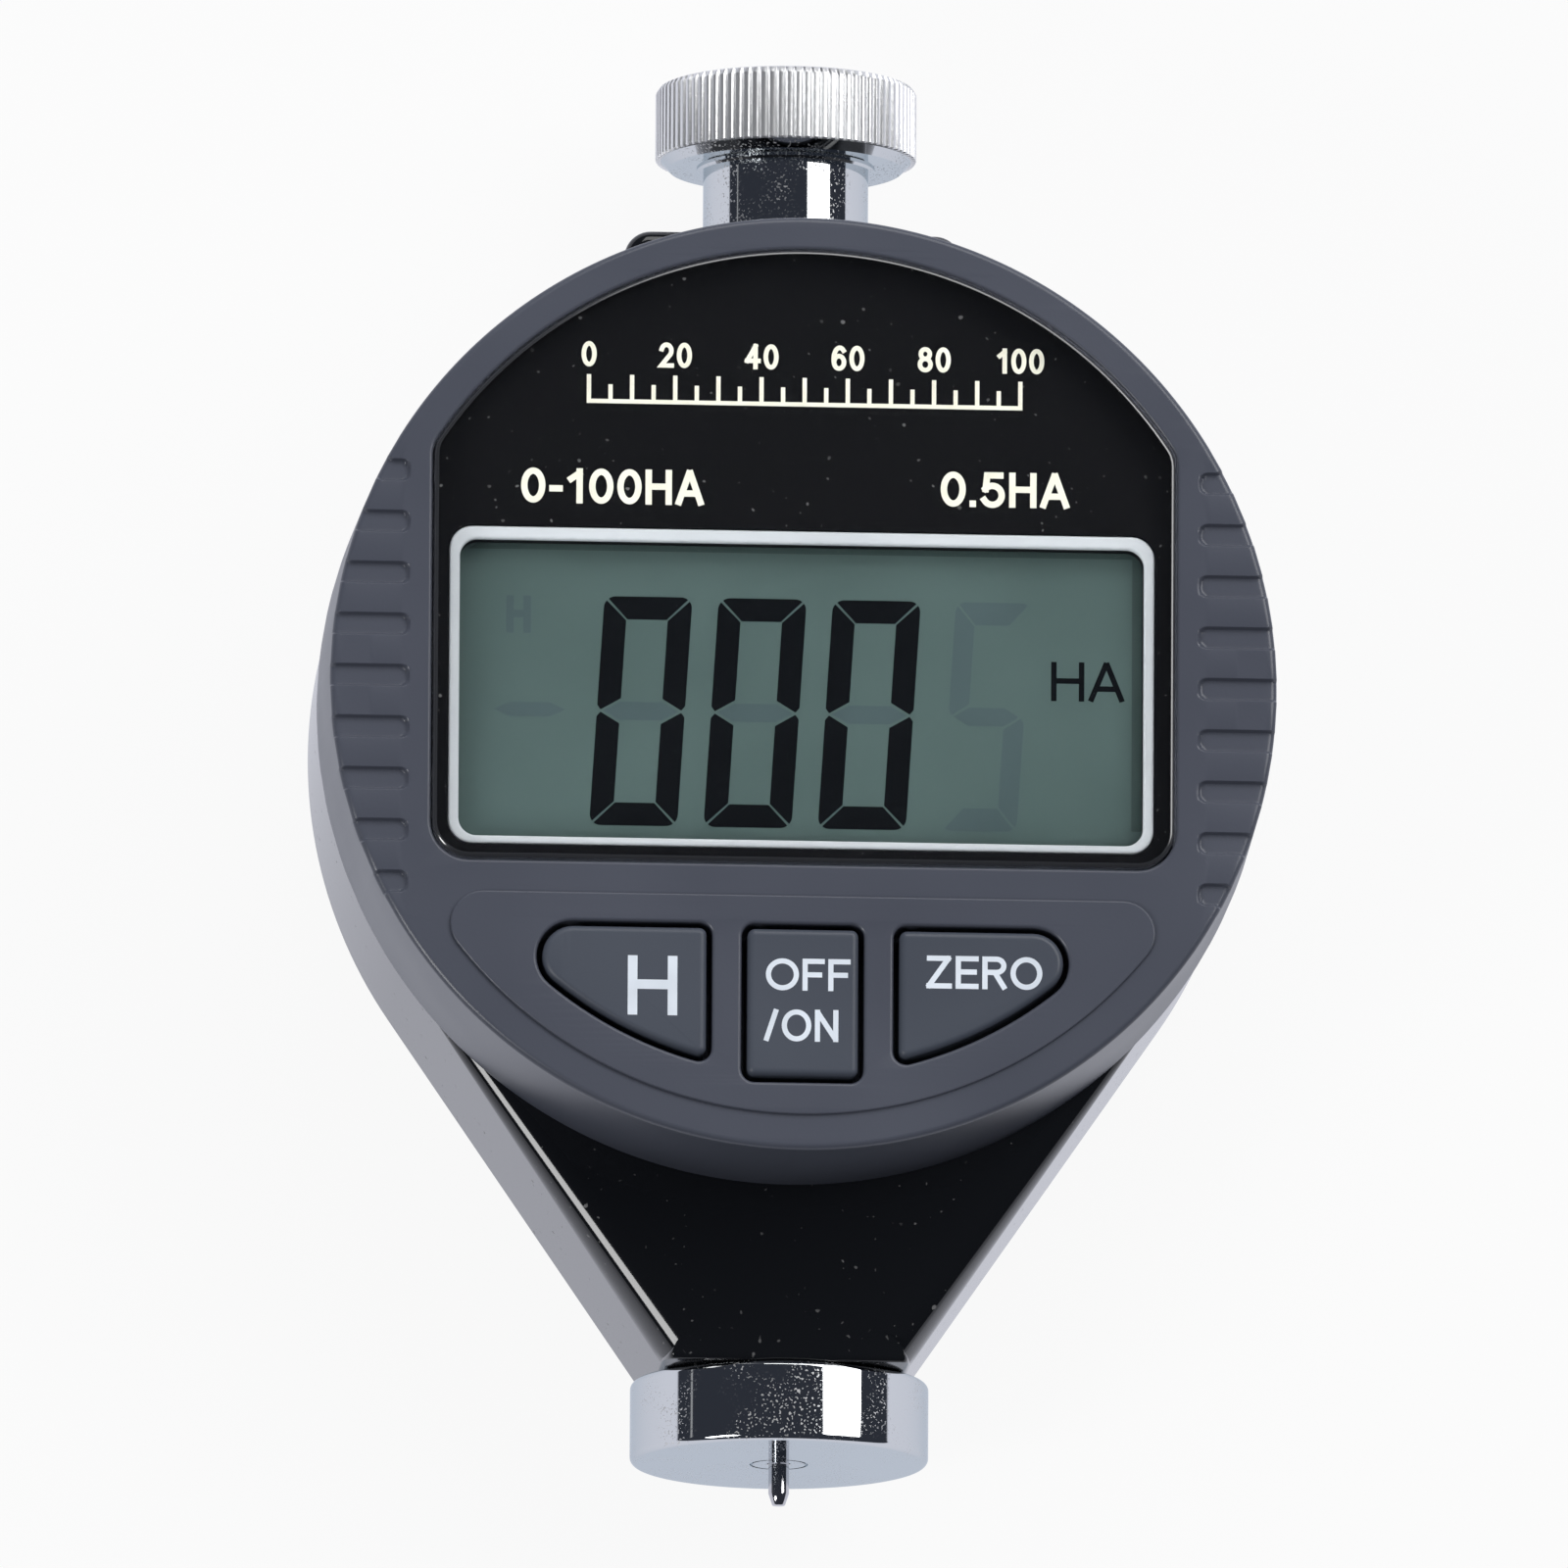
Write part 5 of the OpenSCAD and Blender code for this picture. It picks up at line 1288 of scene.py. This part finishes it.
class GAUGE_OT_stage(bpy.types.Operator):
    """Makes the floor, the light and the camera"""

    bl_idname = "gauge.stage"
    bl_label = "Stage"

    def execute(self, context):
        scene = context.scene
        scene.view_settings.view_transform = "Standard"
        self.floor()
        self.world(scene)
        for name, (place, size, power) in LAMPS.items():
            self.lamp(name, place, size, power)
        self.camera(scene)
        return {"FINISHED"}

    def floor(self):
        """A wide flat sheet, white to the eye and in reflections, that takes the shadow and is clear from below."""
        half, z = 3.0, -0.03 * MM
        mesh = bpy.data.meshes.new("floor")
        corners = at_level(oblong(-half, -half, half, half), z)
        mesh.from_pydata(corners.tolist(), [], [(0, 1, 2, 3)])
        floor = bpy.data.objects.new("floor", mesh)
        bpy.context.scene.collection.objects.link(floor)
        finish = Finish("floor_white", (0.6, 0.6, 0.6), 0.9, specular=0.0)
        tree = finish.tree
        path = tree.nodes.new("ShaderNodeLightPath")
        seen = add_math(tree, "MAXIMUM", path.outputs["Is Camera Ray"], path.outputs["Is Glossy Ray"])
        seen = add_math(tree, "MAXIMUM", seen, path.outputs["Is Transmission Ray"])
        glow = tree.nodes.new("ShaderNodeEmission")
        glow.inputs["Strength"].default_value = 1.0
        white = add_mix(tree, path.outputs["Is Glossy Ray"], (1, 1, 1, 1), FLOOR_MIRRORED)
        tree.links.new(white, glow.inputs["Color"])
        share = add_math(tree, "MULTIPLY", seen, GLOW_SHARE)
        above = add_blend(tree, share, finish.shader.outputs["BSDF"], glow.outputs["Emission"])
        below = tree.nodes.new("ShaderNodeNewGeometry").outputs["Backfacing"]
        clear = tree.nodes.new("ShaderNodeBsdfTransparent")
        finish.show(add_blend(tree, below, above, clear.outputs["BSDF"]))
        mesh.materials.append(finish.material)

    def world(self, scene):
        """Soft light that grows towards the knob's side; reflections see a dark room above a white floor."""
        world = bpy.data.worlds.new("studio")
        scene.world = world
        world.use_nodes = True
        tree = world.node_tree
        path = tree.nodes.new("ShaderNodeLightPath")
        place = tree.nodes.new("ShaderNodeTexCoord")
        split = tree.nodes.new("ShaderNodeSeparateXYZ")
        tree.links.new(place.outputs["Generated"], split.inputs["Vector"])
        room = self.ramp(tree, split.outputs["Z"], 0.03, FLOOR_MIRRORED, (0.032, 0.036, 0.048, 1))
        towards_knob = add_range(tree, split.outputs["Y"], -0.8, 0.8, 0, 1)
        soft = self.ramp(tree, towards_knob, 1.0, (0.02, 0.021, 0.024, 1), (0.55, 0.56, 0.60, 1))
        back = tree.nodes["Background"]
        tree.links.new(add_mix(tree, path.outputs["Is Glossy Ray"], soft, room), back.inputs["Color"])
        white = tree.nodes.new("ShaderNodeBackground")
        white.inputs["Color"].default_value = (1, 1, 1, 1)
        sky = add_blend(tree, path.outputs["Is Camera Ray"], back.outputs["Background"], white.outputs["Background"])
        tree.links.new(sky, tree.nodes["World Output"].inputs["Surface"])

    def ramp(self, tree, source, reach, first, last):
        """A colour that goes from the first to the last while the source goes from nought to the reach."""
        node = tree.nodes.new("ShaderNodeValToRGB")
        start, end = node.color_ramp.elements
        start.color, end.color = first, last
        end.position = reach
        tree.links.new(source, node.inputs["Fac"])
        return node.outputs["Color"]

    def lamp(self, name, place, size, power):
        """A rectangular lamp that looks at the dial."""
        light = bpy.data.lights.new(name, "AREA")
        light.shape = "RECTANGLE"
        light.size, light.size_y = size
        light.energy = power
        lamp = bpy.data.objects.new(name, light)
        lamp.location = place
        aim = LAMPS_AIM - lamp.location
        lamp.rotation_euler = aim.to_track_quat("-Z", "Y").to_euler()
        bpy.context.scene.collection.objects.link(lamp)

    def camera(self, scene):
        """A long lens on the line that the photograph was taken along."""
        distance, width = 3.06, 94.17 * MM
        face, left, down = Vector((0, 0, 29 * MM)), 1.207 * MM, 6.117 * MM
        back = Vector((-0.0637, -0.1836, 0.9809)).normalized()
        across = Vector((0.9979, 0.0, 0.0648)).normalized()
        up = back.cross(across).normalized()
        roll = Matrix.Rotation(math.radians(0.305), 3, back)
        across, up = roll @ across, roll @ up
        middle = face - across * left - up * down
        data = bpy.data.cameras.new("camera")
        data.sensor_width = 36
        data.lens = data.sensor_width * distance / width
        data.clip_end = 20
        camera = bpy.data.objects.new("camera", data)
        rotation = Matrix((across, up, back)).transposed().to_4x4()
        camera.matrix_world = Matrix.Translation(middle + back * distance) @ rotation
        scene.collection.objects.link(camera)
        scene.camera = camera


class GAUGE_PT_build(bpy.types.Panel):
    """Lists the steps that build the gauge"""

    bl_label = "Gauge"
    bl_idname = "GAUGE_PT_build"
    bl_space_type = "VIEW_3D"
    bl_region_type = "UI"
    bl_category = "Gauge"

    def draw(self, context):
        for step in STEPS:
            self.layout.operator(step.bl_idname)


STEPS = (
    GAUGE_OT_finishes, GAUGE_OT_front_cover, GAUGE_OT_body, GAUGE_OT_turned,
    GAUGE_OT_keys, GAUGE_OT_display, GAUGE_OT_stage,
)
SIZES = {
    "gauge_cover": CoverSizes,
    "gauge_body": BodySizes,
    "gauge_turned": TurnedSizes,
    "gauge_display": DisplaySizes,
    "gauge_finishes": Finishes,
}


def register():
    """Registers the sizes, the steps and the panel."""
    for name, group in SIZES.items():
        bpy.utils.register_class(group)
        setattr(bpy.types.Scene, name, PointerProperty(type=group))
    for step in (*STEPS, GAUGE_PT_build):
        bpy.utils.register_class(step)


def unregister():
    """Takes back what register added."""
    for step in (GAUGE_PT_build, *reversed(STEPS)):
        bpy.utils.unregister_class(step)
    for name, group in SIZES.items():
        delattr(bpy.types.Scene, name)
        bpy.utils.unregister_class(group)


def main():
    """Registers everything and runs each step in order."""
    register()
    bpy.ops.gauge.finishes()
    bpy.ops.gauge.front_cover()
    bpy.ops.gauge.body()
    bpy.ops.gauge.turned()
    bpy.ops.gauge.keys()
    bpy.ops.gauge.display()
    bpy.ops.gauge.stage()
    bpy.context.view_layer.update()


if __name__ == "__main__":
    main()
